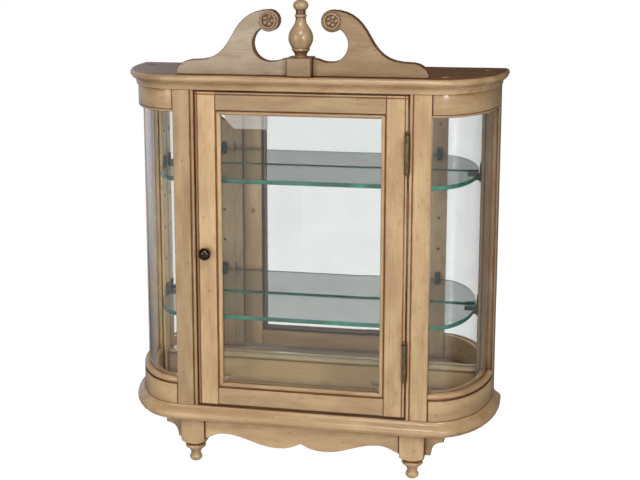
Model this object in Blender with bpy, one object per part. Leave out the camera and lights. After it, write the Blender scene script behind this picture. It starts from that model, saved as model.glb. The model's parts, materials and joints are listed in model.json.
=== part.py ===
"""Wall curio cabinet with bowed glass ends, a glazed door and a swan-neck pediment.

Metres, +Z up, front towards -Y. The origin lies on the wall plane at the middle of the back panel.
Pieces are drawn in the carcass frame, whose zero height is the top of the base board, and one empty
carries that frame down to the origin. The door's pieces hang from an empty on its hinge axis.
"""
import math
from collections import namedtuple

import bmesh
import bpy
from mathutils import Matrix, Vector
from mathutils.geometry import interpolate_bezier

MM = 0.001

# Clearances
FIT = 0.3 * MM
REACH_PAST = 1.0 * MM
DOOR_TOP_GAP = 3.0 * MM
DOOR_BOTTOM_GAP = 5.0 * MM

# Carcass plan and height
CASE_HEIGHT = 535 * MM
CASE_DEPTH = 190 * MM
FRONT_WIDTH = 420 * MM
END_REACH = 98 * MM
END_TAIL = 29 * MM
FRAME_THICKNESS = 20 * MM
FRONT_STILE_WIDTH = 35 * MM
BACK_STILE_WIDTH = 29.5 * MM
BACK_STILE_DEPTH = 42 * MM
RAIL_THICKNESS = 22 * MM
RAIL_SETBACK = 1.2 * MM
BOTTOM_RAIL_HEIGHT = 46 * MM
FRIEZE_HEIGHT = 37 * MM

# Beads worked on the edges
BEAD = 5.5 * MM
QUIRK = 1.5 * MM
RAIL_BEAD = 9.5 * MM
FRIEZE_BEAD = 4 * MM
FRIEZE_QUIRK = 0.8 * MM
BACK_STILE_OUTER_BEAD = 4 * MM

# Bent glass in its grooves
GLASS_SETBACK = 11 * MM
BENT_GLASS_THICKNESS = 4 * MM
GROOVE_DEPTH = 6 * MM

# Base board edge, from the top down
BASE_THICKNESS = 24 * MM
BASE_OVERHANG = 12 * MM
BASE_OGEE_DROP = 15 * MM
BASE_NOSE_HEIGHT = 3.5 * MM
BASE_STEP_INSET = 1.5 * MM
BASE_FOOT_ROUND = 2.5 * MM

# Top board edge, from the underside up
TOP_THICKNESS = 24 * MM
TOP_OVERHANG = 12 * MM
TOP_NOSE_HEIGHT = 12 * MM
TOP_NOSE_REACH = 7 * MM
TOP_FILLET = 1.5 * MM
TOP_COVE_START = 1.5 * MM
COUNTERBORE_RADIUS = 7 * MM
COUNTERBORE_DEPTH = 6 * MM
COUNTERBORE_BACK = (287 * MM, -42 * MM)
COUNTERBORE_FRONT = (227 * MM, -160 * MM)

# Back of the case
BACK_RAIL_DEPTH = 30 * MM
BACK_RAIL_BOTTOM_HEIGHT = 40.5 * MM
BACK_RAIL_TOP_HEIGHT = 38 * MM
BACK_RAIL_BEAD = 5.5 * MM
BACK_REBATE = 8 * MM
MIRROR_THICKNESS = 5 * MM
BACK_PANEL_THICKNESS = 9 * MM
HANGER_WIDTH = 16 * MM
HANGER_HEIGHT = 24 * MM
HANGER_THICKNESS = 1.5 * MM
HANGER_SPACING = 400 * MM
KEYHOLE_RADIUS = 4 * MM
KEYHOLE_SLOT = 4.2 * MM
KEYHOLE_RISE = 9 * MM
KEYHOLE_POCKET_DEPTH = 10 * MM

# Pediment
PEDIMENT_THICKNESS = 20 * MM
PEDIMENT_SETBACK = 4 * MM
PEDIMENT_LENGTH = 409 * MM
PEDIMENT_END_HEIGHT = 23.5 * MM
PEDIMENT_END_WIDTH = 28 * MM
PEDIMENT_TURN = (111 * MM, 63 * MM)
PEDIMENT_TURN_SLOPE = math.radians(62)
PEDIMENT_LOW_PULL = 34 * MM
PEDIMENT_HIGH_PULL = 29 * MM
SCROLL_CENTRE = (51 * MM, 87 * MM)
SCROLL_RADIUS = 17.5 * MM
HOLLOW_CENTRE = (49 * MM, 50.5 * MM)
HOLLOW_RADIUS = 27.8 * MM
HOLLOW_LIP_HEIGHT = 28 * MM
HOLLOW_LIP_START = 45 * MM
PEDIMENT_EDGE_ROUND = 1.2 * MM
BLOCK_WIDTH = 40 * MM
BLOCK_DEPTH = 40 * MM
BLOCK_HEIGHT = 30 * MM
BLOCK_PROUD = 8 * MM
ROSETTE_RADIUS = 13.4 * MM
ROSETTE_RING = 3.6 * MM
ROSETTE_THICKNESS = 4.5 * MM
ROSETTE_SUNK = 1.6 * MM
ROSETTE_PETALS = 5
ROSETTE_BOSS = 2.4 * MM
ROSETTE_RINGS = (0.95, 0.75, 0.5, 0.3)
PETAL_STEPS = 6

# Finial: heights above the block and radii, from the foot up
FINIAL_HEIGHT = 90 * MM
FINIAL_BALL_RADIUS = 12.7 * MM
FINIAL_BALL_HEIGHT = 19 * MM
FINIAL_NECK_RADIUS = 8.1 * MM
FINIAL_COLLAR_RADIUS = 10 * MM
FINIAL_COLLAR_HEIGHT = 4.5 * MM
FINIAL_COLLAR_RISE = 64.5 * MM
FINIAL_BULB_RADIUS = 20.2 * MM
FINIAL_BULB_RISE = 29 * MM
FINIAL_CUP_RADIUS = 14 * MM
FINIAL_CUP_RISE = 13.5 * MM
FINIAL_RING_RADIUS = 15 * MM
FINIAL_RING_HEIGHT = 4 * MM
FINIAL_STEM_RADIUS = 9.7 * MM
FINIAL_STEM_RISE = 4 * MM
FINIAL_FOOT_RADIUS = 11 * MM

# Apron and feet
APRON_THICKNESS = 18 * MM
APRON_SETBACK = 4 * MM
APRON_CUSP = 32 * MM
APRON_LOBE = (40 * MM, 43 * MM)
APRON_ARCH = (131 * MM, 24.5 * MM)
APRON_END = 36 * MM
APRON_SWING_SHARE = 0.385
APRON_END_SHARE = 0.417
FOOT_WIDTH = 40 * MM
FOOT_SPACING = 371 * MM
FOOT_BLOCK_HEIGHT = 34 * MM
FOOT_POMMEL_HEIGHT = 12 * MM
FOOT_POMMEL_RADIUS = 15 * MM
FOOT_QUIRK_RADIUS = 12.5 * MM
FOOT_QUIRK_HEIGHT = 3 * MM
FOOT_RING_RADIUS = 17.6 * MM
FOOT_RING_HEIGHT = 8 * MM
FOOT_NECK_RADIUS = 8.35 * MM
FOOT_NECK_HEIGHT = 9.5 * MM
FOOT_BALL_RADIUS = 11 * MM
FOOT_BALL_HEIGHT = 15.5 * MM
EAR_REACH = 31 * MM
EAR_HEIGHT = 41 * MM
EAR_TIP = 16 * MM
EAR_FOOT = 9.5 * MM
EAR_CURL = 2.5 * MM
EAR_FLAT_SHARE = 0.52
EAR_STEEP_SHARE = 0.44
EAR_SETBACK = 20 * MM
EAR_THICKNESS = 18 * MM

# Shelves and their supports
SHELF_THICKNESS = 7.3 * MM
SHELF_FRONT_GAP = 6 * MM
SHELF_BACK = 20 * MM
SHELF_FRONT_WIDTH = 410 * MM
SHELF_END_GAP = 4 * MM
PIN_FIRST = 152 * MM
PIN_PITCH = 58 * MM
PIN_ROWS = 6
LOWER_SHELF_ROW = 0
UPPER_SHELF_ROW = 4
PIN_RADIUS = 2.5 * MM
PIN_LENGTH = 7 * MM
PIN_FROM_EDGE = 15 * MM
BACK_PIN_FROM_WALL = 29 * MM
SUPPORT_PLATE = 2.2 * MM
SUPPORT_HEIGHT = 27 * MM
SUPPORT_WIDTH = 11 * MM
SUPPORT_REACH = 22 * MM
SUPPORT_ARM = 5 * MM
SUPPORT_BELOW_PIN = 5.5 * MM

# Door
DOOR_STILE_WIDTH = 42 * MM
DOOR_RAIL_WIDTH = 37.5 * MM
DOOR_OUTER_BEAD = 4 * MM
DOOR_OUTER_QUIRK = 1 * MM
DOOR_INNER_BEAD = 7 * MM
DOOR_FOOT_ROUND = 2 * MM
DOOR_LIP = 8 * MM
DOOR_REBATE = 8 * MM
DOOR_GLASS_THICKNESS = 5 * MM
DOOR_GLASS_EDGE = 2.5 * MM
DOOR_BEVEL_SEEN = 22 * MM
STRIP_WIDTH = 5 * MM
KNOB_RISE = 266.5 * MM
KNOB_RADIUS = 10.6 * MM
KNOB_STEM_RADIUS = 5 * MM
KNOB_BASE_RADIUS = 7 * MM
KNOB_BASE = 2.5 * MM
KNOB_STEM = 7 * MM
KNOB_HEAD = 12 * MM
KNOB_BORE_DEPTH = 13 * MM
KNOB_SCREW_RADIUS = 1.9 * MM
KNOB_SCREW_HEAD_RADIUS = 4.2 * MM
KNOB_SCREW_HEAD = 2.2 * MM

# Hinges and catch
LEAF_THICKNESS = 0.65 * MM
LEAF_DEPTH = 13 * MM
BARREL_RADIUS = 3.9 * MM
BARREL_OFFSET = 1.8 * MM
BARREL_LENGTH = 59 * MM
MIDDLE_KNUCKLE = 27.5 * MM
HINGE_PIN_RADIUS = 1.7 * MM
HINGE_TIP_RADIUS = 3.2 * MM
HINGE_TIP_LENGTH = 5.5 * MM
HINGE_TOP_INSET = 90 * MM
HINGE_BOTTOM_INSET = 95 * MM
CATCH_WIDTH = 46 * MM
CATCH_DEPTH = 15 * MM
CATCH_HEIGHT = 13 * MM
CATCH_FROM_CENTRE = 105 * MM
STRIKE_WIDTH = 40 * MM
STRIKE_HEIGHT = 11 * MM
STRIKE_THICKNESS = 1.2 * MM

# How finely curves are drawn
END_STEPS = 12
BEAD_STEPS = 6
CURVE_STEPS = 7
TURN_STEPS = 20
SMALL_TURN_STEPS = 12
HOLE_STEPS = 10
BALL_STEPS = 8
SHORT_STEPS = 4
SMOOTH_ANGLE = math.radians(35)
SHARP_EDGE = math.radians(60)
WELD = 0.01 * MM

# Places worked out from the sizes above
FRONT_Y = -CASE_DEPTH
FRAME_BACK_Y = FRONT_Y + FRAME_THICKNESS
HALF_FRONT = FRONT_WIDTH / 2
HALF_WIDTH = HALF_FRONT + END_REACH
END_RISE = CASE_DEPTH - END_TAIL
DOOR_OPENING = HALF_FRONT - FRONT_STILE_WIDTH
HINGE_GAP = 2 * LEAF_THICKNESS + 3 * FIT
DOOR_HALF = DOOR_OPENING - HINGE_GAP
DOOR_BOTTOM = DOOR_BOTTOM_GAP
DOOR_TOP = CASE_HEIGHT - DOOR_TOP_GAP
DOOR_STICK = DOOR_INNER_BEAD + QUIRK
SIGHT_X = DOOR_HALF - DOOR_STILE_WIDTH
SIGHT_BOTTOM = DOOR_BOTTOM + DOOR_RAIL_WIDTH
SIGHT_TOP = DOOR_TOP - DOOR_RAIL_WIDTH
HINGE_X = DOOR_OPENING - HINGE_GAP / 2 - BARREL_OFFSET
HINGE_Y = FRONT_Y - BARREL_RADIUS - FIT
UPPER_HINGE_Z = DOOR_TOP - HINGE_TOP_INSET
LOWER_HINGE_Z = DOOR_BOTTOM + HINGE_BOTTOM_INSET
KNOB_X = -(DOOR_HALF + SIGHT_X + DOOR_STICK) / 2
BACK_STILE_INNER = HALF_WIDTH - BACK_STILE_WIDTH
BACK_STILE_Y = -BACK_STILE_DEPTH
MIRROR_Y = -(BACK_PANEL_THICKNESS + FIT + MIRROR_THICKNESS)
REBATE_Y = MIRROR_Y - FIT
MIRROR_BOTTOM = BACK_RAIL_BOTTOM_HEIGHT
MIRROR_TOP = CASE_HEIGHT - BACK_RAIL_TOP_HEIGHT
BASE_BOTTOM = -BASE_THICKNESS
TOP_Z = CASE_HEIGHT + TOP_THICKNESS
BLOCK_TOP = TOP_Z + FIT + BLOCK_HEIGHT
PEDIMENT_Y = FRONT_Y + PEDIMENT_SETBACK
SHELF_FRONT = CASE_DEPTH - FRAME_THICKNESS - SHELF_FRONT_GAP
SHELF_TIP = BACK_STILE_INNER - SHELF_END_GAP
PIN_X = HALF_FRONT - PIN_FROM_EDGE
PIN_HOLE_RADIUS = PIN_RADIUS + FIT
PIN_HOLE_DEPTH = PIN_LENGTH + FIT
GROOVE_NEAR = GLASS_SETBACK - FIT
GROOVE_FAR = GLASS_SETBACK + BENT_GLASS_THICKNESS + FIT
ORIGIN_Z = CASE_HEIGHT / 2

Look = namedtuple("Look", "colour roughness metallic transmission")
WOOD = Look((0.527, 0.359, 0.184), 0.45, 0.0, 0.0)
WOOD_INSIDE = Look((0.235, 0.175, 0.102), 0.6, 0.0, 0.0)
CLEAR_GLASS = Look((0.93, 0.96, 0.94), 0.03, 0.0, 0.95)
SHELF_GLASS = Look((0.55, 0.78, 0.70), 0.03, 0.0, 0.9)
MIRROR = Look((0.88, 0.89, 0.89), 0.02, 1.0, 0.0)
BRONZE = Look((0.055, 0.036, 0.024), 0.3, 0.85, 0.0)
HINGE_METAL = Look((0.30, 0.24, 0.15), 0.4, 0.9, 0.0)
DARK_METAL = Look((0.020, 0.026, 0.022), 0.5, 0.6, 0.0)
BRASS = Look((0.60, 0.42, 0.16), 0.35, 1.0, 0.0)
STEEL = Look((0.45, 0.45, 0.46), 0.35, 1.0, 0.0)
DARK_PLASTIC = Look((0.030, 0.022, 0.016), 0.5, 0.0, 0.0)


def clear_scene():
    """Remove every object that the file opened with."""
    for thing in list(bpy.data.objects):
        bpy.data.objects.remove(thing, do_unlink=True)


def material_for(name, look):
    """One Principled material for one piece."""
    material = bpy.data.materials.new(name + "_finish")
    material.use_nodes = True
    shader = material.node_tree.nodes["Principled BSDF"]
    shader.inputs["Base Color"].default_value = (*look.colour, 1.0)
    shader.inputs["Roughness"].default_value = look.roughness
    shader.inputs["Metallic"].default_value = look.metallic
    shader.inputs["Transmission Weight"].default_value = look.transmission
    material.diffuse_color = (*look.colour, 1.0)
    return material


def add_empty(name, place, parent=None):
    """An empty that carries other pieces."""
    empty = bpy.data.objects.new(name, None)
    empty.location = place
    empty.parent = parent
    bpy.context.scene.collection.objects.link(empty)
    return empty


def add_piece(name, shape, look, parent, origin=(0, 0, 0), seat=(0, 0, 0)):
    """Turn a bmesh into a named piece whose own origin lies at origin and whose place is seat."""
    bmesh.ops.translate(shape, verts=shape.verts, vec=-Vector(origin))
    bmesh.ops.recalc_face_normals(shape, faces=shape.faces)
    mesh = bpy.data.meshes.new(name)
    shape.to_mesh(mesh)
    shape.free()
    mesh.shade_smooth()
    mesh.set_sharp_from_angle(angle=SMOOTH_ANGLE)
    mesh.materials.append(material_for(name, look))
    piece = bpy.data.objects.new(name, mesh)
    piece.location = seat
    piece.parent = parent
    bpy.context.scene.collection.objects.link(piece)
    return piece


def mirrored(points):
    """The same outline on the other side of the centre line."""
    return [(-x, other) for x, other in points]


def arc(centre, radius, start, end, steps):
    """Points on an arc, start and end included."""
    return [(centre[0] + radius * math.cos(start + (end - start) * k / steps),
             centre[1] + radius * math.sin(start + (end - start) * k / steps)) for k in range(steps + 1)]


def oval(centre, reach, rise, start, end, steps):
    """Points on part of an ellipse, start and end included."""
    return [(centre[0] + reach * math.cos(start + (end - start) * k / steps),
             centre[1] + rise * math.sin(start + (end - start) * k / steps)) for k in range(steps + 1)]


def curve(start, pull_start, pull_end, end, steps=CURVE_STEPS):
    """Points on a cubic curve, start and end included."""
    knots = [Vector((*point, 0)) for point in (start, pull_start, pull_end, end)]
    return [(point.x, point.y) for point in interpolate_bezier(*knots, steps + 1)]


def prism(outline, low, high, along="Z"):
    """A straight solid with a flat outline: in X and Y along Z, in X and Z along Y, in Y and Z along X."""
    shape = bmesh.new()
    if along == "Z":
        loop = [shape.verts.new((x, y, low)) for x, y in outline]
        way = Vector((0, 0, high - low))
    elif along == "Y":
        loop = [shape.verts.new((x, low, z)) for x, z in outline]
        way = Vector((0, high - low, 0))
    else:
        loop = [shape.verts.new((low, y, z)) for y, z in outline]
        way = Vector((high - low, 0, 0))
    face = shape.faces.new(loop)
    grown = bmesh.ops.extrude_face_region(shape, geom=[face], use_keep_orig=True)
    moved = [part for part in grown["geom"] if isinstance(part, bmesh.types.BMVert)]
    bmesh.ops.translate(shape, verts=moved, vec=way)
    bmesh.ops.recalc_face_normals(shape, faces=shape.faces)
    return shape


def box(low, high):
    """A straight box between two corners."""
    outline = [(low[0], low[1]), (high[0], low[1]), (high[0], high[1]), (low[0], high[1])]
    return prism(outline, low[2], high[2])


def skin(rings):
    """A closed solid through rings that all have the same number of points."""
    shape = bmesh.new()
    loops = [[shape.verts.new(point) for point in ring] for ring in rings]
    count = len(loops[0])
    for lower, upper in zip(loops, loops[1:]):
        for k in range(count):
            shape.faces.new((lower[k], lower[(k + 1) % count], upper[(k + 1) % count], upper[k]))
    shape.faces.new(loops[0])
    shape.faces.new(loops[-1])
    bmesh.ops.recalc_face_normals(shape, faces=shape.faces)
    return shape


def turned(profile, steps=TURN_STEPS):
    """A solid turned about Z from a profile of radius and height that starts and ends on the axis."""
    shape = bmesh.new()
    line = [shape.verts.new((radius, 0, z)) for radius, z in profile]
    edges = [shape.edges.new(pair) for pair in zip(line, line[1:])]
    bmesh.ops.spin(shape, geom=line + edges, cent=(0, 0, 0), axis=(0, 0, 1), dvec=(0, 0, 0),
                   angle=math.tau, steps=steps, use_merge=True)
    bmesh.ops.remove_doubles(shape, verts=shape.verts, dist=WELD)
    bmesh.ops.recalc_face_normals(shape, faces=shape.faces)
    return shape


def moved(shape, place, turn=None):
    """Turn a shape about the origin, then set it in its place."""
    if turn is not None:
        bmesh.ops.rotate(shape, verts=shape.verts, cent=(0, 0, 0), matrix=turn)
    bmesh.ops.translate(shape, verts=shape.verts, vec=place)
    return shape


def joined(shapes):
    """Several apart shapes in one bmesh, for one cut."""
    total = shapes[0]
    for other in shapes[1:]:
        mesh = bpy.data.meshes.new("part_of_tool")
        other.to_mesh(mesh)
        other.free()
        total.from_mesh(mesh)
        bpy.data.meshes.remove(mesh)
    return total


def combined(body, tool, operation="DIFFERENCE"):
    """The body after an exact boolean with the tool."""
    things = []
    for label, shape in (("body", body), ("tool", tool)):
        mesh = bpy.data.meshes.new(label)
        shape.to_mesh(mesh)
        shape.free()
        thing = bpy.data.objects.new(label, mesh)
        bpy.context.scene.collection.objects.link(thing)
        things.append(thing)
    cut = things[0].modifiers.new("cut", "BOOLEAN")
    cut.object = things[1]
    cut.operation = operation
    cut.solver = "EXACT"
    bpy.context.view_layer.update()
    graph = bpy.context.evaluated_depsgraph_get()
    result = bpy.data.meshes.new_from_object(things[0].evaluated_get(graph))
    shape = bmesh.new()
    shape.from_mesh(result)
    bpy.data.meshes.remove(result)
    for thing in things:
        mesh = thing.data
        bpy.data.objects.remove(thing, do_unlink=True)
        bpy.data.meshes.remove(mesh)
    return shape


def rod(radius, low, high, steps=HOLE_STEPS):
    """A plain cylinder about Z."""
    return turned([(0, low), (radius, low), (radius, high), (0, high)], steps)


TURN_TO_X = Matrix.Rotation(math.pi / 2, 3, "Y")
TURN_TO_Y = Matrix.Rotation(-math.pi / 2, 3, "X")
TURN_TO_FRONT = Matrix.Rotation(math.pi / 2, 3, "X")


def bead_at_edge(width, quirk):
    """A half-round bead and its quirk: steps along the face and into the wood, from the side to the face."""
    radius = width / 2
    round_part = arc((radius, radius), radius, math.pi, 2 * math.pi, BEAD_STEPS)
    return round_part + [(width + quirk, radius), (width + quirk, 0)]


def end_point(turn):
    """A point of the bowed end's outer curve and its outward direction, from front to wall."""
    point = Vector((HALF_FRONT + END_REACH * math.sin(turn), -END_TAIL - END_RISE * math.cos(turn)))
    out = Vector((END_RISE * math.sin(turn), -END_REACH * math.cos(turn))).normalized()
    return point, out


def end_turn_at(y):
    """How far round the end curve a place in front of the wall lies."""
    return math.acos(max(0.0, min(1.0, (-y - END_TAIL) / END_RISE)))


def board_outline(overhang):
    """The D-shaped plan, grown outwards by an overhang, with its back on the wall plane."""
    side = [(HALF_WIDTH + overhang, 0)]
    for k in range(END_STEPS, -1, -1):
        point, out = end_point(math.pi / 2 * k / END_STEPS)
        side.append(tuple(point + out * overhang))
    return side + list(reversed(mirrored(side)))


def board(edge):
    """A D-shaped board whose edge runs through steps of overhang and height."""
    return skin([[(x, y, z) for x, y in board_outline(overhang)] for overhang, z in edge])


def end_stations():
    """Points and directions along a bowed end between the front stile and the back stile."""
    last = end_turn_at(BACK_STILE_Y - FIT)
    stations = [(Vector((HALF_FRONT + FIT, FRONT_Y)), Vector((0, -1)))]
    for k in range(1, END_STEPS):
        stations.append(end_point(last * k / END_STEPS))
    end, _ = end_point(last)
    stations.append((Vector((end.x, BACK_STILE_Y - FIT)), Vector((1, 0))))
    return stations


def swept(profile, stations, side):
    """A profile of setback and height carried along stations, on the right (1) or left (-1)."""
    rings = []
    for point, out in stations:
        rings.append([(side * (point.x - out.x * back), point.y - out.y * back, z) for back, z in profile])
    return skin(rings)


def groove_for_glass_end():
    """Where the bent glass meets the front of the back stile: its outer and inner X."""
    end, _ = end_point(end_turn_at(BACK_STILE_Y))
    return end.x - GROOVE_NEAR, end.x - GROOVE_FAR


def base_edge():
    """Edge of the base board, from the top down: ogee, nose and step."""
    middle = -BASE_OGEE_DROP / 2
    ogee = curve((0, 0), (0, middle), (BASE_OVERHANG, middle), (BASE_OVERHANG, -BASE_OGEE_DROP), BEAD_STEPS)
    step_z = -BASE_OGEE_DROP - BASE_NOSE_HEIGHT
    low = BASE_OVERHANG - BASE_STEP_INSET
    foot = [(BASE_OVERHANG, step_z), (low, step_z - BASE_STEP_INSET), (low, BASE_BOTTOM + BASE_FOOT_ROUND),
            (low - BASE_FOOT_ROUND, BASE_BOTTOM)]
    return ogee + foot


def top_edge():
    """Edge of the top board, from the underside up: cove, fillet and round nose."""
    nose_z = TOP_Z - TOP_NOSE_HEIGHT / 2
    nose = oval((TOP_OVERHANG - TOP_NOSE_REACH, nose_z), TOP_NOSE_REACH, TOP_NOSE_HEIGHT / 2,
                -math.pi / 3, math.pi / 2, BEAD_STEPS)
    cove_top = nose[0][1] - TOP_FILLET
    cove_out = nose[0][0] - TOP_FILLET
    cove = oval((cove_out, CASE_HEIGHT), cove_out - TOP_COVE_START, cove_top - CASE_HEIGHT,
                math.pi, math.pi / 2, BEAD_STEPS)
    return cove + [(nose[0][0], cove_top + TOP_FILLET / 3)] + nose


def add_boards(case):
    """Base board, and top board with its screw counterbores."""
    add_piece("base_board", board(base_edge()), WOOD, case)
    holes = []
    for x, y in (COUNTERBORE_BACK, COUNTERBORE_FRONT):
        for side in (1, -1):
            hole = rod(COUNTERBORE_RADIUS, TOP_Z - COUNTERBORE_DEPTH, TOP_Z + REACH_PAST, SMALL_TURN_STEPS)
            holes.append(moved(hole, (side * x, y, 0)))
    add_piece("cornice_top", combined(board(top_edge()), joined(holes)), WOOD, case)


def pin_heights():
    """Heights of the shelf pin holes."""
    return [PIN_FIRST + PIN_PITCH * k for k in range(PIN_ROWS)]


def front_stile(side):
    """Front stile: bead on the door side, glass groove on the bowed side, pin holes in the back."""
    outline = [(DOOR_OPENING, FRAME_BACK_Y)]
    outline += [(DOOR_OPENING + along, FRONT_Y + into) for along, into in bead_at_edge(BEAD, QUIRK)]
    outline += [(HALF_FRONT, FRONT_Y), (HALF_FRONT, FRONT_Y + GROOVE_NEAR),
                (HALF_FRONT - GROOVE_DEPTH, FRONT_Y + GROOVE_NEAR),
                (HALF_FRONT - GROOVE_DEPTH, FRONT_Y + GROOVE_FAR), (HALF_FRONT, FRONT_Y + GROOVE_FAR),
                (HALF_FRONT, FRAME_BACK_Y)]
    shape = prism([(side * x, y) for x, y in outline], FIT, CASE_HEIGHT - FIT)
    holes = []
    for z in pin_heights():
        hole = rod(PIN_HOLE_RADIUS, -PIN_HOLE_DEPTH, REACH_PAST)
        holes.append(moved(hole, (side * PIN_X, FRAME_BACK_Y, z), TURN_TO_Y))
    return combined(shape, joined(holes))


def back_stile(side):
    """Back stile: beads, glass groove, mirror rebate and pin holes in its inner face."""
    groove_out, groove_in = groove_for_glass_end()
    outer = bead_at_edge(BACK_STILE_OUTER_BEAD, QUIRK)
    outline = [(BACK_STILE_INNER, REBATE_Y)]
    outline += [(BACK_STILE_INNER + along, BACK_STILE_Y + into) for along, into in bead_at_edge(BEAD, QUIRK)]
    outline += [(groove_in, BACK_STILE_Y), (groove_in, BACK_STILE_Y + GROOVE_DEPTH),
                (groove_out, BACK_STILE_Y + GROOVE_DEPTH), (groove_out, BACK_STILE_Y)]
    outline += [(HALF_WIDTH - along, BACK_STILE_Y + into) for along, into in reversed(outer)]
    rebate_x = BACK_STILE_INNER + BACK_REBATE
    outline += [(HALF_WIDTH, 0), (rebate_x, 0), (rebate_x, REBATE_Y)]
    shape = prism([(side * x, y) for x, y in outline], FIT, CASE_HEIGHT - FIT)
    holes = []
    for z in pin_heights():
        hole = rod(PIN_HOLE_RADIUS, -REACH_PAST, PIN_HOLE_DEPTH)
        place = (side * BACK_STILE_INNER, -BACK_PIN_FROM_WALL, z)
        holes.append(moved(hole, place, Matrix.Rotation(side * math.pi / 2, 3, "Y")))
    return combined(shape, joined(holes))


def rail_profile(edge_z, far_z, width, quirk):
    """Curved rail in setback and height: beaded at edge_z, where the glass enters, and plain at far_z."""
    up = 1 if edge_z > far_z else -1
    bead = [(RAIL_SETBACK + into, edge_z - up * along) for along, into in bead_at_edge(width, quirk)]
    inner = RAIL_SETBACK + RAIL_THICKNESS
    return [(GROOVE_NEAR, edge_z)] + bead + [
        (RAIL_SETBACK, far_z), (inner, far_z), (inner, edge_z), (GROOVE_FAR, edge_z),
        (GROOVE_FAR, edge_z - up * GROOVE_DEPTH), (GROOVE_NEAR, edge_z - up * GROOVE_DEPTH)]


def bent_glass(side):
    """Bent pane: straight lips in both stiles and a curve between them."""
    into = GROOVE_DEPTH - FIT
    last = end_turn_at(BACK_STILE_Y)
    stations = [(Vector((HALF_FRONT - into, FRONT_Y)), Vector((0, -1)))]
    stations += [end_point(last * k / END_STEPS) for k in range(END_STEPS)]
    end, _ = end_point(last)
    for y in (BACK_STILE_Y, BACK_STILE_Y + into):
        stations.append((Vector((end.x, y)), Vector((1, 0))))
    near = GLASS_SETBACK
    far = GLASS_SETBACK + BENT_GLASS_THICKNESS
    low = BOTTOM_RAIL_HEIGHT - into
    high = CASE_HEIGHT - FRIEZE_HEIGHT + into
    return swept([(near, low), (far, low), (far, high), (near, high)], stations, side)


def add_ends(case):
    """Stiles, curved rails and bent glass of both bowed ends."""
    frieze_low = CASE_HEIGHT - FRIEZE_HEIGHT
    for label, side in (("left", -1), ("right", 1)):
        add_piece("stile_front_" + label, front_stile(side), WOOD, case)
        add_piece("stile_back_" + label, back_stile(side), WOOD, case)
        bottom = rail_profile(BOTTOM_RAIL_HEIGHT, FIT, RAIL_BEAD, QUIRK)
        add_piece("rail_bottom_" + label, swept(bottom, end_stations(), side), WOOD, case)
        frieze = rail_profile(frieze_low, CASE_HEIGHT - FIT, FRIEZE_BEAD, FRIEZE_QUIRK)
        add_piece("frieze_" + label, swept(frieze, end_stations(), side), WOOD, case)
        add_piece("bent_glass_" + label, bent_glass(side), CLEAR_GLASS, case)


def back_rail(edge_z, far_z):
    """Back rail: beaded on the mirror side, rebated behind for the mirror and the back panel."""
    up = 1 if edge_z > far_z else -1
    face = -BACK_RAIL_DEPTH
    outline = [(face + into, edge_z - up * along) for along, into in bead_at_edge(BACK_RAIL_BEAD, QUIRK)]
    outline += [(face, far_z), (0, far_z), (0, edge_z - up * BACK_REBATE),
                (REBATE_Y, edge_z - up * BACK_REBATE), (REBATE_Y, edge_z)]
    reach = BACK_STILE_INNER - FIT
    return prism(outline, -reach, reach, "X")


def hanger_z():
    """Height of the hanging plates: the middle of the back top rail's rear face."""
    return (MIRROR_TOP + BACK_REBATE + CASE_HEIGHT) / 2


def hanger_plate():
    """Hanging plate with a keyhole, drawn about its own centre, flush with the wall plane."""
    half = KEYHOLE_SLOT / 2
    low = -KEYHOLE_RISE / 2
    meet = math.asin(half / KEYHOLE_RADIUS)
    hole = arc((0, low), KEYHOLE_RADIUS, math.pi / 2 + meet, 2.5 * math.pi - meet, SMALL_TURN_STEPS)
    hole += arc((0, low + KEYHOLE_RISE), half, 0, math.pi, BEAD_STEPS)
    wide = HANGER_WIDTH / 2
    tall = HANGER_HEIGHT / 2
    plate = box((-wide, -HANGER_THICKNESS, -tall), (wide, 0, tall))
    return combined(plate, prism(hole, -HANGER_THICKNESS - REACH_PAST, REACH_PAST, "Y"))


def hanger_seat(x):
    """Cutter for one plate's shallow bed and the pocket behind its keyhole."""
    z = hanger_z()
    wide = HANGER_WIDTH / 2 + FIT
    tall = HANGER_HEIGHT / 2 + FIT
    bed = box((x - wide, -HANGER_THICKNESS - FIT, z - tall), (x + wide, REACH_PAST, z + tall))
    pocket_tall = KEYHOLE_RISE / 2 + KEYHOLE_RADIUS
    pocket = box((x - KEYHOLE_RADIUS, -KEYHOLE_POCKET_DEPTH, z - pocket_tall),
                 (x + KEYHOLE_RADIUS, -HANGER_THICKNESS, z + pocket_tall))
    return combined(bed, pocket, "UNION")


def add_back(case):
    """Back rails, mirror, back panel and hanging plates."""
    add_piece("back_rail_bottom", back_rail(MIRROR_BOTTOM, FIT), WOOD_INSIDE, case)
    seats = [hanger_seat(side * HANGER_SPACING / 2) for side in (-1, 1)]
    top = combined(back_rail(MIRROR_TOP, CASE_HEIGHT - FIT), joined(seats))
    add_piece("back_rail_top", top, WOOD_INSIDE, case)
    edge = BACK_REBATE - FIT
    wide = BACK_STILE_INNER + edge
    low = MIRROR_BOTTOM - edge
    high = MIRROR_TOP + edge
    mirror = box((-wide, MIRROR_Y, low), (wide, MIRROR_Y + MIRROR_THICKNESS, high))
    add_piece("mirror_pane", mirror, MIRROR, case)
    add_piece("back_panel", box((-wide, -BACK_PANEL_THICKNESS, low), (wide, 0, high)), WOOD_INSIDE, case)
    for label, side in (("left", -1), ("right", 1)):
        place = (side * HANGER_SPACING / 2, 0, hanger_z())
        add_piece("hanger_" + label, hanger_plate(), STEEL, case, seat=place)


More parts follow.
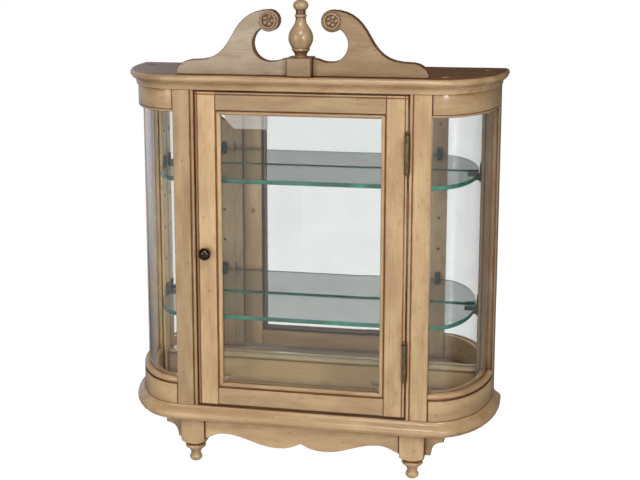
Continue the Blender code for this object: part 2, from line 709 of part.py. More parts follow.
def pediment_outline():
    """Right-hand scrolled board in X and height above the top board, from its outer toe to the block."""
    half = PEDIMENT_LENGTH / 2
    shoulder = (half - PEDIMENT_END_WIDTH, PEDIMENT_END_HEIGHT)
    toe = oval((shoulder[0], 0), PEDIMENT_END_WIDTH, PEDIMENT_END_HEIGHT, 0, math.pi / 2, CURVE_STEPS)
    slope = Vector((-math.cos(PEDIMENT_TURN_SLOPE), math.sin(PEDIMENT_TURN_SLOPE)))
    turn = Vector(PEDIMENT_TURN)
    head_top = (SCROLL_CENTRE[0], SCROLL_CENTRE[1] + SCROLL_RADIUS)
    low_pull = (shoulder[0] - PEDIMENT_LOW_PULL, shoulder[1])
    rise = curve(shoulder, low_pull, turn - slope * PEDIMENT_LOW_PULL, turn)
    high_pull = (head_top[0] + PEDIMENT_HIGH_PULL, head_top[1])
    neck = curve(turn, turn + slope * PEDIMENT_HIGH_PULL, high_pull, head_top)
    gap = Vector(HOLLOW_CENTRE) - Vector(SCROLL_CENTRE)
    lean = math.atan2(gap.y, gap.x)
    reach = gap.length
    share = (SCROLL_RADIUS ** 2 - HOLLOW_RADIUS ** 2 + reach ** 2) / (2 * reach * SCROLL_RADIUS)
    meet = math.acos(max(-1.0, min(1.0, share)))
    head = arc(SCROLL_CENTRE, SCROLL_RADIUS, math.pi / 2, math.tau + lean + meet, 2 * CURVE_STEPS)
    throat = Vector(head[-1]) - Vector(HOLLOW_CENTRE)
    lip_start = -math.acos(max(-1.0, min(1.0, (HOLLOW_LIP_START - HOLLOW_CENTRE[0]) / HOLLOW_RADIUS)))
    hollow = arc(HOLLOW_CENTRE, HOLLOW_RADIUS, math.atan2(throat.y, throat.x), lip_start, 2 * CURVE_STEPS)
    inner = BLOCK_WIDTH / 2 + FIT
    lip_mid = (hollow[-1][0] + inner) / 2
    lip_end = (inner, HOLLOW_LIP_HEIGHT)
    lip = curve(hollow[-1], (lip_mid, hollow[-1][1]), (lip_mid, HOLLOW_LIP_HEIGHT), lip_end)
    return toe + rise[1:] + neck[1:] + head[1:] + hollow[1:] + lip[1:] + [(inner, 0)]


def eased(shape, width):
    """A shape with its sharp edges eased by one flat."""
    sharp = [edge for edge in shape.edges if edge.calc_face_angle(0) > SHARP_EDGE]
    bmesh.ops.bevel(shape, geom=sharp, offset=width, segments=1, affect="EDGES", clamp_overlap=True)
    return shape


def rosette():
    """A turned ring round a sunk flower, drawn about Z with its back at zero height."""
    field = ROSETTE_RADIUS - ROSETTE_RING
    floor = ROSETTE_THICKNESS - ROSETTE_SUNK
    petal_floor = floor - ROSETTE_SUNK / 2
    crest = ROSETTE_RADIUS - ROSETTE_RING / 2
    ring = [(ROSETTE_RADIUS, 0)]
    ring += oval((crest, floor), ROSETTE_RING / 2, ROSETTE_SUNK, 0, math.pi, BEAD_STEPS)
    boss = oval((0, petal_floor), ROSETTE_BOSS, ROSETTE_SUNK, 0, math.pi / 2, SHORT_STEPS)
    shape = bmesh.new()
    steps = ROSETTE_PETALS * PETAL_STEPS
    turns = [math.tau * k / steps for k in range(steps)]

    def level_loop(radius, z):
        return [shape.verts.new((radius * math.cos(turn), radius * math.sin(turn), z)) for turn in turns]

    loops = [level_loop(radius, z) for radius, z in ring]
    for share in ROSETTE_RINGS:
        radius = ROSETTE_BOSS + (field - ROSETTE_BOSS) * share
        loop = level_loop(radius, petal_floor)
        for vert, turn in zip(loop, turns):
            petal = abs(math.cos(ROSETTE_PETALS * turn / 2)) * math.sin(math.pi * share)
            vert.co.z += ROSETTE_SUNK * petal
        loops.append(loop)
    loops += [level_loop(radius, z) for radius, z in boss[:-1]]
    for outer, inner in zip(loops, loops[1:]):
        for k in range(steps):
            shape.faces.new((outer[k], outer[(k + 1) % steps], inner[(k + 1) % steps], inner[k]))
    crown = shape.verts.new((0, 0, boss[-1][1]))
    for k in range(steps):
        shape.faces.new((loops[-1][k], loops[-1][(k + 1) % steps], crown))
    shape.faces.new(loops[0])
    return shape


def finial_profile():
    """Turned finial in radius and height above its block, from the foot up."""
    ring_z = FINIAL_CUP_RISE - FINIAL_RING_HEIGHT / 2
    collar_low = FINIAL_COLLAR_RISE - FINIAL_COLLAR_HEIGHT / 2
    collar_high = FINIAL_COLLAR_RISE + FINIAL_COLLAR_HEIGHT / 2
    ball_z = FINIAL_HEIGHT - FINIAL_BALL_HEIGHT / 2
    foot = [(0, 0), (FINIAL_FOOT_RADIUS, 0), (FINIAL_FOOT_RADIUS, FINIAL_STEM_RISE / 3)]
    stem = [(FINIAL_STEM_RADIUS, FINIAL_STEM_RISE * 2 / 3), (FINIAL_STEM_RADIUS, FINIAL_STEM_RISE)]
    ring_half = FINIAL_RING_HEIGHT / 2
    ring = arc((FINIAL_RING_RADIUS - ring_half, ring_z), ring_half, -math.pi / 2, math.pi / 2, SHORT_STEPS)
    widest = (FINIAL_BULB_RADIUS, FINIAL_BULB_RISE)
    cup_pull = (FINIAL_BULB_RADIUS, (FINIAL_CUP_RISE + FINIAL_BULB_RISE) / 2)
    cup = curve((FINIAL_CUP_RADIUS, FINIAL_CUP_RISE), cup_pull, widest, widest, SHORT_STEPS)
    shoulder_mid = (collar_low + FINIAL_BULB_RISE) / 2
    shoulder = curve(widest, (FINIAL_BULB_RADIUS, shoulder_mid), (FINIAL_NECK_RADIUS, shoulder_mid),
                     (FINIAL_NECK_RADIUS, collar_low), BALL_STEPS)
    collar_half = FINIAL_COLLAR_HEIGHT / 2
    collar_core = (FINIAL_COLLAR_RADIUS - collar_half, FINIAL_COLLAR_RISE)
    collar = arc(collar_core, collar_half, -math.pi / 3, math.pi / 3, SHORT_STEPS)
    ball_low = math.acos(FINIAL_NECK_RADIUS / FINIAL_BALL_RADIUS)
    ball = oval((0, ball_z), FINIAL_BALL_RADIUS, FINIAL_BALL_HEIGHT / 2, -ball_low, math.pi / 2, BALL_STEPS)
    neck = [(FINIAL_NECK_RADIUS, collar_high)]
    return foot + stem + ring + cup + shoulder[1:] + collar + neck + ball


def add_pediment(case):
    """Scrolled boards, block, finial and rosettes on the top board."""
    low = TOP_Z + FIT
    outline = [(x, low + z) for x, z in pediment_outline()]
    for label, side in (("left", -1), ("right", 1)):
        shape = prism([(side * x, z) for x, z in outline], PEDIMENT_Y, PEDIMENT_Y + PEDIMENT_THICKNESS, "Y")
        add_piece("pediment_" + label, eased(shape, PEDIMENT_EDGE_ROUND), WOOD, case)
        place = (side * SCROLL_CENTRE[0], PEDIMENT_Y - FIT, low + SCROLL_CENTRE[1])
        add_piece("rosette_" + label, moved(rosette(), (0, 0, 0), TURN_TO_FRONT), WOOD, case, seat=place)
    front = FRONT_Y - BLOCK_PROUD
    block = box((-BLOCK_WIDTH / 2, front, low), (BLOCK_WIDTH / 2, front + BLOCK_DEPTH, low + BLOCK_HEIGHT))
    add_piece("pediment_block", eased(block, PEDIMENT_EDGE_ROUND), WOOD, case)
    place = (0, front + BLOCK_DEPTH / 2, BLOCK_TOP + FIT)
    add_piece("finial", turned(finial_profile()), WOOD, case, seat=place)


def apron_outline():
    """Scalloped apron in X and height, from one foot block to the other."""
    low = BASE_BOTTOM
    end_x = FOOT_SPACING / 2 - FOOT_WIDTH / 2 - FIT
    cusp = (0, low - APRON_CUSP)
    lobe = (APRON_LOBE[0], low - APRON_LOBE[1])
    arch = (APRON_ARCH[0], low - APRON_ARCH[1])
    end = (end_x, low - APRON_END)
    lobe_pull = APRON_LOBE[0] / 2
    swing_pull = (arch[0] - lobe[0]) * APRON_SWING_SHARE
    end_pull = (end[0] - arch[0]) * APRON_END_SHARE
    cusp_pull = (lobe_pull / 2, (cusp[1] + lobe[1]) / 2)
    end_drop = (arch[1] + end[1]) / 2
    half = curve(cusp, cusp_pull, (lobe[0] - lobe_pull, lobe[1]), lobe, SHORT_STEPS)
    half += curve(lobe, (lobe[0] + swing_pull, lobe[1]), (arch[0] - swing_pull, arch[1]), arch)[1:]
    half += curve(arch, (arch[0] + end_pull, arch[1]), (end[0] - end_pull, end_drop), end, SHORT_STEPS)[1:]
    half += [(end_x, low - FIT)]
    return list(reversed(mirrored(half)))[:-1] + half


def foot():
    """A square block that runs into a turned foot, drawn about Z with its top at zero height."""
    half = FOOT_WIDTH / 2
    corner = half * math.sqrt(2) + REACH_PAST
    pommel_z = -FOOT_BLOCK_HEIGHT
    quirk_z = pommel_z - FOOT_POMMEL_HEIGHT
    ring_z = quirk_z - FOOT_QUIRK_HEIGHT - FOOT_RING_HEIGHT / 2
    neck_z = ring_z - FOOT_RING_HEIGHT / 2 - FOOT_NECK_HEIGHT
    ball_z = neck_z - FOOT_BALL_HEIGHT / 2
    pommel = oval((FOOT_POMMEL_RADIUS, pommel_z), corner - FOOT_POMMEL_RADIUS, FOOT_POMMEL_HEIGHT,
                  0, -math.pi / 2, BEAD_STEPS)
    quirk = [(FOOT_QUIRK_RADIUS, quirk_z), (FOOT_QUIRK_RADIUS, quirk_z - FOOT_QUIRK_HEIGHT)]
    ring_half = FOOT_RING_HEIGHT / 2
    ring_core = FOOT_RING_RADIUS - ring_half
    ring = arc((ring_core, ring_z), ring_half, math.pi / 2, -math.pi / 2, BEAD_STEPS)
    neck_mid = (ring[-1][1] + neck_z) / 2
    cone = ((ring_core + FOOT_NECK_RADIUS) / 2, neck_mid)
    neck = curve(ring[-1], cone, (FOOT_NECK_RADIUS, neck_mid), (FOOT_NECK_RADIUS, neck_z), SHORT_STEPS)
    start = math.acos(FOOT_NECK_RADIUS / FOOT_BALL_RADIUS)
    ball = oval((0, ball_z), FOOT_BALL_RADIUS, FOOT_BALL_HEIGHT / 2, start, -math.pi / 2, BALL_STEPS)
    spindle = turned([(0, 0), (corner, 0)] + pommel + quirk + ring + neck[1:] + ball)
    square = box((-half, -half, ball[-1][1] - REACH_PAST), (half, half, 0))
    return combined(spindle, square, "INTERSECT")


def ear_outline():
    """Bracket beside a foot block, in X and height."""
    inner = FOOT_SPACING / 2 + FOOT_WIDTH / 2 + FIT
    top = BASE_BOTTOM - FIT
    tip = (inner + EAR_REACH, top - EAR_TIP)
    low = (inner + EAR_FOOT, BASE_BOTTOM - EAR_HEIGHT)
    flat_pull = (tip[0] - EAR_REACH * EAR_FLAT_SHARE, tip[1] - EAR_CURL)
    steep_pull = (low[0] + EAR_CURL, low[1] + EAR_HEIGHT * EAR_STEEP_SHARE)
    sweep = curve(tip, flat_pull, steep_pull, low)
    return [(inner, top), (tip[0], top)] + sweep + [(inner, low[1])]


def add_apron(case):
    """Apron, feet and ears under the base board."""
    front = FRONT_Y + APRON_SETBACK
    add_piece("apron_front", prism(apron_outline(), front, front + APRON_THICKNESS, "Y"), WOOD, case)
    ear_front = FRONT_Y + EAR_SETBACK
    for label, side in (("left", -1), ("right", 1)):
        place = (side * FOOT_SPACING / 2, FRONT_Y + FOOT_WIDTH / 2, BASE_BOTTOM - FIT)
        add_piece("foot_" + label, foot(), WOOD, case, seat=place)
        ear = prism([(side * x, z) for x, z in ear_outline()], ear_front, ear_front + EAR_THICKNESS, "Y")
        add_piece("apron_ear_" + label, ear, WOOD, case)


def shelf_low(row):
    """Height of a shelf's underside when its supports sit in one row of holes."""
    return pin_heights()[row] - SUPPORT_BELOW_PIN + FIT


def shelf():
    """Glass shelf with bowed ends, drawn with its underside at zero height."""
    rise = SHELF_FRONT - SHELF_BACK
    reach = SHELF_TIP - SHELF_FRONT_WIDTH / 2
    side = oval((SHELF_FRONT_WIDTH / 2, -SHELF_BACK), reach, rise, 0, -math.pi / 2, END_STEPS)
    return prism(side + list(reversed(mirrored(side))), 0, SHELF_THICKNESS)


def support():
    """Shelf support about its pin: plate, arm under the shelf along +X and pin along -X."""
    arm_top = -SUPPORT_BELOW_PIN
    plate_low = -SUPPORT_HEIGHT / 2
    plate_out = FIT + SUPPORT_PLATE
    outline = [(FIT, plate_low), (plate_out, plate_low), (plate_out, arm_top - SUPPORT_ARM),
               (SUPPORT_REACH, arm_top - SUPPORT_ARM), (SUPPORT_REACH, arm_top), (plate_out, arm_top),
               (plate_out, plate_low + SUPPORT_HEIGHT), (FIT, plate_low + SUPPORT_HEIGHT)]
    bracket = prism(outline, -SUPPORT_WIDTH / 2, SUPPORT_WIDTH / 2, "Y")
    pin = moved(rod(PIN_RADIUS, -PIN_LENGTH, FIT + SUPPORT_PLATE / 2), (0, 0, 0), TURN_TO_X)
    return combined(bracket, pin, "UNION")


def add_shelves(case):
    """Two loose glass shelves and their eight supports."""
    for level, row in (("lower", LOWER_SHELF_ROW), ("upper", UPPER_SHELF_ROW)):
        add_piece("shelf_" + level, shelf(), SHELF_GLASS, case, seat=(0, 0, shelf_low(row)))
        z = pin_heights()[row]
        for label, side in (("left", -1), ("right", 1)):
            front = moved(support(), (side * PIN_X, FRAME_BACK_Y, z), Matrix.Rotation(math.pi / 2, 3, "Z"))
            add_piece("support_%s_front_%s" % (level, label), front, DARK_METAL, case)
            turn = Matrix.Rotation(math.pi if side > 0 else 0.0, 3, "Z")
            back = moved(support(), (side * BACK_STILE_INNER, -BACK_PIN_FROM_WALL, z), turn)
            add_piece("support_%s_back_%s" % (level, label), back, DARK_METAL, case)


def door_stile_outline():
    """Right-hand door stile in plan: bead outside, bead and glass rebate inside."""
    outline = [(DOOR_HALF, FRAME_BACK_Y)]
    outer = bead_at_edge(DOOR_OUTER_BEAD, DOOR_OUTER_QUIRK)
    inner = bead_at_edge(DOOR_INNER_BEAD, QUIRK)
    outline += [(DOOR_HALF - along, FRONT_Y + into) for along, into in outer]
    outline += [(SIGHT_X + along, FRONT_Y + into) for along, into in reversed(inner)]
    outline += [(SIGHT_X, FRONT_Y + DOOR_LIP), (SIGHT_X + DOOR_REBATE, FRONT_Y + DOOR_LIP),
                (SIGHT_X + DOOR_REBATE, FRAME_BACK_Y)]
    return outline


def stile_mitre(sight_z, up):
    """Cutter that ends a stile's inner moulding on a mitre, above (1) or below (-1) the sight edge."""
    past = REACH_PAST
    far = sight_z + up * (CASE_HEIGHT + DOOR_RAIL_WIDTH)
    corner = SIGHT_X + DOOR_STICK
    outline = [(SIGHT_X - past, sight_z - up * past), (corner, sight_z + up * DOOR_STICK), (corner, far),
               (SIGHT_X - past, far)]
    return prism(outline, FRONT_Y - past, FRAME_BACK_Y + past, "Y")


def stile_top_bead():
    """Cutter that carries the top rail's outer bead across the end of a stile."""
    past = REACH_PAST
    outline = [(FRONT_Y + DOOR_OUTER_BEAD / 2, DOOR_TOP + past), (FRONT_Y - past, DOOR_TOP + past),
               (FRONT_Y - past, DOOR_TOP - DOOR_OUTER_BEAD - DOOR_OUTER_QUIRK)]
    outer = bead_at_edge(DOOR_OUTER_BEAD, DOOR_OUTER_QUIRK)
    outline += [(FRONT_Y + into, DOOR_TOP - along) for along, into in reversed(outer)]
    return prism(outline, SIGHT_X, DOOR_HALF + past, "X")


def door_stile(side):
    """Door stile with mitred moulding; the knob's stile is bored for its screw."""
    shape = prism(door_stile_outline(), DOOR_BOTTOM, DOOR_TOP)
    shape = combined(shape, joined([stile_mitre(SIGHT_TOP, 1), stile_mitre(SIGHT_BOTTOM, -1)]))
    shape = combined(shape, stile_top_bead())
    if side < 0:
        bmesh.ops.scale(shape, verts=shape.verts, vec=(-1, 1, 1))
        bmesh.ops.recalc_face_normals(shape, faces=shape.faces)
        bore = rod(KNOB_SCREW_RADIUS + FIT, -REACH_PAST, FRAME_THICKNESS + REACH_PAST)
        shape = combined(shape, moved(bore, (KNOB_X, FRONT_Y, KNOB_RISE), TURN_TO_Y))
    return shape


def door_rail(sight_z, edge_z):
    """Door rail between the stiles: moulded at the sight edge, beaded or eased at its outer edge."""
    up = 1 if edge_z > sight_z else -1
    if up > 0:
        outer = bead_at_edge(DOOR_OUTER_BEAD, DOOR_OUTER_QUIRK)
    else:
        foot = DOOR_FOOT_ROUND
        outer = arc((foot, foot), foot, math.pi, math.pi * 3 / 2, SHORT_STEPS)
    inner = bead_at_edge(DOOR_INNER_BEAD, QUIRK)
    outline = [(FRAME_BACK_Y, edge_z)]
    outline += [(FRONT_Y + into, edge_z - up * along) for along, into in outer]
    outline += [(FRONT_Y + into, sight_z + up * along) for along, into in reversed(inner)]
    outline += [(FRONT_Y + DOOR_LIP, sight_z), (FRONT_Y + DOOR_LIP, sight_z + up * DOOR_REBATE),
                (FRAME_BACK_Y, sight_z + up * DOOR_REBATE)]
    reach = SIGHT_X + DOOR_STICK - FIT
    rail = prism(outline, -reach, reach, "X")
    wedges = []
    past = REACH_PAST + FIT
    for side in (1, -1):
        near = SIGHT_X - FIT
        corner = near + DOOR_STICK + past
        wedge = [(near - past, sight_z - up * past), (corner, sight_z + up * (DOOR_STICK + past)),
                 (corner, sight_z - up * past)]
        wedge = [(side * x, z) for x, z in wedge]
        wedges.append(prism(wedge, FRONT_Y - past, FRAME_BACK_Y + past, "Y"))
    return combined(rail, joined(wedges))


def glass_front():
    """Y of the flat front of the door's pane: its bevel rests just behind the moulding's lip."""
    edge = DOOR_REBATE - FIT
    fall = (DOOR_GLASS_THICKNESS - DOOR_GLASS_EDGE) * DOOR_BEVEL_SEEN / (DOOR_BEVEL_SEEN + edge)
    return FRONT_Y + DOOR_LIP + FIT - fall


def door_glass():
    """Bevelled pane behind the door's moulding."""
    edge = DOOR_REBATE - FIT
    flat_y = glass_front()
    back_y = flat_y + DOOR_GLASS_THICKNESS
    edge_y = back_y - DOOR_GLASS_EDGE

    def ring(grow, y):
        low = SIGHT_BOTTOM - grow
        high = SIGHT_TOP + grow
        wide = SIGHT_X + grow
        return [(-wide, y, low), (wide, y, low), (wide, y, high), (-wide, y, high)]

    return skin([ring(-DOOR_BEVEL_SEEN, flat_y), ring(edge, edge_y), ring(edge, back_y)])


def glass_strip(low, high):
    """One strip that holds the glass: a box between two corners in X and height."""
    front = glass_front() + DOOR_GLASS_THICKNESS + FIT
    return box((low[0], front, low[1]), (high[0], FRAME_BACK_Y, high[1]))


def add_glass_strips(door, axis):
    """Four strips behind the door's glass, standing ones full height, lying ones between them."""
    edge = DOOR_REBATE - FIT
    wide = SIGHT_X + edge
    low = SIGHT_BOTTOM - edge
    high = SIGHT_TOP + edge
    inner = wide - STRIP_WIDTH
    places = {
        "glass_strip_left": ((-wide, low), (-inner, high)),
        "glass_strip_right": ((inner, low), (wide, high)),
        "glass_strip_bottom": ((-inner + FIT, low), (inner - FIT, low + STRIP_WIDTH)),
        "glass_strip_top": ((-inner + FIT, high - STRIP_WIDTH), (inner - FIT, high)),
    }
    for name, (start, end) in places.items():
        add_piece(name, glass_strip(start, end), DARK_PLASTIC, door, axis)


def knob():
    """Round knob about Z, its base at zero height, bored from behind for the screw."""
    bore = KNOB_SCREW_RADIUS + FIT
    neck_z = KNOB_BASE + KNOB_STEM
    flare = curve((KNOB_STEM_RADIUS, KNOB_BASE), (KNOB_STEM_RADIUS, neck_z),
                  (KNOB_RADIUS, neck_z - KNOB_BASE), (KNOB_RADIUS, neck_z + KNOB_HEAD / 3), BEAD_STEPS)
    dome = oval((0, neck_z + KNOB_HEAD / 3), KNOB_RADIUS, KNOB_HEAD * 2 / 3, 0, math.pi / 2, BEAD_STEPS)
    profile = [(0, KNOB_BORE_DEPTH), (bore, KNOB_BORE_DEPTH), (bore, 0), (KNOB_BASE_RADIUS, 0),
               (KNOB_BASE_RADIUS, KNOB_BASE / 2), (KNOB_STEM_RADIUS, KNOB_BASE)]
    return turned(profile + flare[1:] + dome[1:])


def knob_screw():
    """Screw about Z: its head seats at zero height and its shank runs up through the stile."""
    shank = FRAME_THICKNESS + KNOB_BORE_DEPTH - REACH_PAST
    head = oval((0, -FIT), KNOB_SCREW_HEAD_RADIUS, KNOB_SCREW_HEAD, -math.pi / 2, 0, SHORT_STEPS)
    profile = head + [(KNOB_SCREW_RADIUS, -FIT), (KNOB_SCREW_RADIUS, shank), (0, shank)]
    return turned(profile, SMALL_TURN_STEPS)


def hinge_leaf(middle):
    """A hinge leaf about its pin axis: the door's holds the middle knuckle, the frame's the outer two.

    The barrel stands off the middle of the gap, towards the door, so both leaves lie to its right.
    """
    half = BARREL_LENGTH / 2
    split = MIDDLE_KNUCKLE / 2
    side = -1 if middle else 1
    faces = (FIT / 2, FIT / 2 + LEAF_THICKNESS)
    near, far = sorted(BARREL_OFFSET + side * face for face in faces)
    plate_y = BARREL_RADIUS + 2 * FIT
    spans = [(-split, split)] if middle else [(-half, -split - FIT), (split + FIT, half)]
    plate = box((near, plate_y, -half), (far, plate_y + LEAF_DEPTH, half))
    for low, high in spans:
        tab = box((near, HINGE_PIN_RADIUS, low + FIT), (far, plate_y + FIT, high - FIT))
        plate = combined(plate, tab, "UNION")
        plate = combined(plate, rod(BARREL_RADIUS, low, high, SMALL_TURN_STEPS), "UNION")
    bore = rod(HINGE_PIN_RADIUS + FIT, -half - REACH_PAST, half + REACH_PAST, SMALL_TURN_STEPS)
    return combined(plate, bore)


def hinge_pin():
    """Hinge pin about Z with a ball tip past each end of the barrel."""
    end = BARREL_LENGTH / 2 + FIT
    tip_z = end + HINGE_TIP_LENGTH / 2
    tip = oval((0, tip_z), HINGE_TIP_RADIUS, HINGE_TIP_LENGTH / 2, -math.pi / 4, math.pi / 2, SHORT_STEPS)
    upper = [(HINGE_PIN_RADIUS, end)] + tip
    lower = [(radius, -z) for radius, z in reversed(upper)]
    return turned(lower + upper, SMALL_TURN_STEPS)


def add_door(case):
    """The door's pieces on an empty at the hinge axis, the frame's half of each hinge, and the catch."""
    axis = (HINGE_X, HINGE_Y, 0)
    door = add_empty("door_axis", axis, case)
    for label, side in (("left", -1), ("right", 1)):
        add_piece("door_stile_" + label, door_stile(side), WOOD, door, axis)
    add_piece("door_rail_top", door_rail(SIGHT_TOP, DOOR_TOP), WOOD, door, axis)
    add_piece("door_rail_bottom", door_rail(SIGHT_BOTTOM, DOOR_BOTTOM), WOOD, door, axis)
    add_piece("door_glass", door_glass(), CLEAR_GLASS, door, axis)
    add_glass_strips(door, axis)
    add_piece("knob", moved(knob(), (KNOB_X, FRONT_Y - FIT, KNOB_RISE), TURN_TO_FRONT), BRONZE, door, axis)
    screw = moved(knob_screw(), (KNOB_X, FRAME_BACK_Y, KNOB_RISE), TURN_TO_FRONT)
    add_piece("knob_screw", screw, BRASS, door, axis)
    for level, z in (("upper", UPPER_HINGE_Z), ("lower", LOWER_HINGE_Z)):
        add_piece("hinge_leaf_door_" + level, hinge_leaf(True), HINGE_METAL, door, seat=(0, 0, z))
        place = (HINGE_X, HINGE_Y, z)
        add_piece("hinge_leaf_frame_" + level, hinge_leaf(False), HINGE_METAL, case, seat=place)
        add_piece("hinge_pin_" + level, hinge_pin(), HINGE_METAL, case, seat=place)
    add_catch(case, door, axis)


def add_catch(case, door, axis):
    """Magnetic catch under the top board, and the strike on the back of the door."""
    strike_y = FRAME_BACK_Y + FIT
    catch_y = strike_y + STRIKE_THICKNESS + FIT
    catch_high = CASE_HEIGHT - FIT
    middle = -CATCH_FROM_CENTRE
    body = box((middle - CATCH_WIDTH / 2, catch_y, catch_high - CATCH_HEIGHT),
               (middle + CATCH_WIDTH / 2, catch_y + CATCH_DEPTH, catch_high))
    add_piece("catch_body", body, DARK_PLASTIC, case)
    strike_high = DOOR_TOP - REACH_PAST
    strike = box((middle - STRIKE_WIDTH / 2, strike_y, strike_high - STRIKE_HEIGHT),
                 (middle + STRIKE_WIDTH / 2, strike_y + STRIKE_THICKNESS, strike_high))
    add_piece("strike_plate", strike, STEEL, door, axis)


def main():
    """Build the cabinet."""
    clear_scene()
    case = add_empty("cabinet", (0, 0, -ORIGIN_Z))
    add_boards(case)
    add_ends(case)
    add_back(case)
    add_pediment(case)
    add_apron(case)
    add_shelves(case)
    add_door(case)


main()
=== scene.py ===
"""Looks of the wall curio cabinet: glazed tan wood, bent and bevelled glass, a mirror and aged fittings.

Metres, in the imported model's frame: origin on the wall plane, front towards -Y, +X to the viewer's right.
"""
import json
import math

import bmesh
import bpy
from mathutils import Matrix, Vector

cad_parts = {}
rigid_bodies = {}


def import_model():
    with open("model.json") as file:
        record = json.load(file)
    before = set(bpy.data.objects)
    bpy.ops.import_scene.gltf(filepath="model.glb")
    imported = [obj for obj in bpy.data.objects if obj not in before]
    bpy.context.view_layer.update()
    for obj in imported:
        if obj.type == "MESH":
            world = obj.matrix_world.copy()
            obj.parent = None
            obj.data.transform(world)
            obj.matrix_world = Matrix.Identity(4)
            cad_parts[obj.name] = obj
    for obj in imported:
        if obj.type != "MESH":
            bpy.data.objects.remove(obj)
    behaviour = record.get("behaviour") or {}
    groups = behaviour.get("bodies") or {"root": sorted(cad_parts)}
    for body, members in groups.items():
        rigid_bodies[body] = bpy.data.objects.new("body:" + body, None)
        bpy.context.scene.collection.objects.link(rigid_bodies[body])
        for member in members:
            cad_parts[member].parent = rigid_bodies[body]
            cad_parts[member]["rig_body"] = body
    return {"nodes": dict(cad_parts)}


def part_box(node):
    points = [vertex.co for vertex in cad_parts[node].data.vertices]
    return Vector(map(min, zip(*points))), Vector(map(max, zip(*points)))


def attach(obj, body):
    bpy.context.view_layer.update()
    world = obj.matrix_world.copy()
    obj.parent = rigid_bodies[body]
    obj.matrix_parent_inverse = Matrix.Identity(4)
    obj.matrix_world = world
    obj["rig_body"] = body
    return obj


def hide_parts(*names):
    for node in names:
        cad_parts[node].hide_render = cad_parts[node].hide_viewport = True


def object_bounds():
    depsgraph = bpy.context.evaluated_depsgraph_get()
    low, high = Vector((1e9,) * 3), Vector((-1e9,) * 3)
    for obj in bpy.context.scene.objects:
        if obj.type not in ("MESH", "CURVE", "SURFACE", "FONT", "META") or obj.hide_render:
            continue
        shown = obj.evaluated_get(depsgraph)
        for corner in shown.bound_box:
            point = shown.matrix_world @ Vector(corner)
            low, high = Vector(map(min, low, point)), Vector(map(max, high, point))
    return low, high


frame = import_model()
cad_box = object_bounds()

MM = 0.001

# The right-hand bowed end in plan: its ellipse's centre and half-axes, and where it runs straight to the wall
BEND_CENTRE_X = 210 * MM
BEND_CENTRE_Y = -29 * MM
BEND_REACH = 98 * MM
BEND_RISE = 161 * MM
BEND_BACK = -42 * MM
# The bent pane, set back from that curve
PANE_SETBACK = 11 * MM
PANE_THICKNESS = 4 * MM
PANE_STEPS = 64

# Eased edges: on outside wood, down the ends of a rail, on small pieces and on the shelves' glass
ARRIS = 1.0 * MM
JOINT = 1.9 * MM
FINE_ARRIS = 0.25 * MM
GLASS_ARRIS = 0.7 * MM
ARRIS_STEPS = 3
# A narrower face than this passes for an eased edge, and a shorter edge than this is left as it is
NARROWEST_FACE = 2.2 * MM
SHORTEST_EDGE = 3.5 * MM
# A sharper bend shows as an edge, a gentler one is flat, and points as near as this are one point
SHARP_TURN = math.radians(38)
FLAT_TURN = math.radians(0.6)
MERGE = 0.002 * MM
# Triangles that pair up into a good four-sided face: how far they may bend and lean
QUAD_BEND = math.radians(20)
QUAD_LEAN = math.radians(60)
# Parts of a direction: the least along an axis that it keeps to, and the most a rim turns to the front
ALONG = 0.9
RIM_FACING = 0.5

# Thick glaze, and painted shade on the bead by the latch: where carving and that bead hold it, how fast
# hollows fill, and how much stays
CARVING_CREST = 1.15 * MM
CARVING_DEPTH = 0.5 * MM
LATCH_BEAD = 4.2 * MM
HOLLOW_GAIN = 9.0
HOLLOW_SOAK = 0.9
LATCH_SHADE = 0.75
END_SOAK = 0.95
# Thin glaze and painted shade: how far from a hollow the darkening reaches, and how far from an outer
# edge the cloth left glaze
GLAZE_AND_SHADE_REACH = 12 * MM
RIM_REACH = 3 * MM

# Marks in wood, as length along the grain and width: streaks, clouds of stain, smudges of glaze, the net
# that its specks lie in and the share of its meshes without one, and the figure of plywood
STREAK = (70 * MM, 2.6 * MM)
CLOUD = (95 * MM, 26 * MM)
SMUDGE = (38 * MM, 15 * MM)
SPECK_NET = (24 * MM, 12 * MM)
SPECK_FREE = 0.35
PLY_FIGURE = (160 * MM, 24 * MM)
# Each piece is cut from its own place in the log, a number of these steps along
LOG_STEP = (0.37, 0.11, 0.23)
LOG_PLACES = 97
# Depth of wood's streaks, of plywood's figure and of the skin on metal and plastic; width of haze on glass
STREAK_DEPTH = 0.25 * MM
PLY_DEPTH = 0.4 * MM
SKIN_DEPTH = 0.3 * MM
HAZE = 60 * MM

# Screws in the top board's counterbores and the hanging plates, and brads round the back: radius and place
BORE_DEPTH = 6 * MM
TOP_SCREW = 4.2 * MM
TOP_SCREW_PLACES = ((287 * MM, -42 * MM), (227 * MM, -160 * MM))
HANGER_SCREW = 1.5 * MM
HANGER_SCREW_INSET = 1.9 * MM
BRAD = 1.1 * MM
BRAD_INSET = 5 * MM
BRADS_ACROSS = 9
BRADS_DOWN = 7
# A head in shares of its radius: its dome's height, its flat top, and the bars that cut its cross, whose
# middle lies at a share of the dome's height plus a lift
SCREW_DOME = 0.4
HANGER_DOME = 0.12
BRAD_DOME = 0.2
HEAD_SIDES = 20
HEAD_TOP = 0.62
CROSS = (0.28, 1.2)
NO_CROSS = (0.0, 0.0)
BAR_HEIGHT = 2.0
BAR_SHARE = 1.4
BAR_LIFT = 0.7

# The photograph's frame and the camera that took it
FRAME_PIXELS = (640, 480)
SENSOR_WIDTH = 36.0
FOCAL_PIXELS = 1303.6
CENTRE_PIXELS = (279.0, 180.5)
CAMERA_PLACE = (0.4045, -2.2008, 0.5162)
CAMERA_YAW = math.radians(12.29)
CAMERA_PITCH = math.radians(10.799)
CAMERA_ROLL = math.radians(-0.2555)

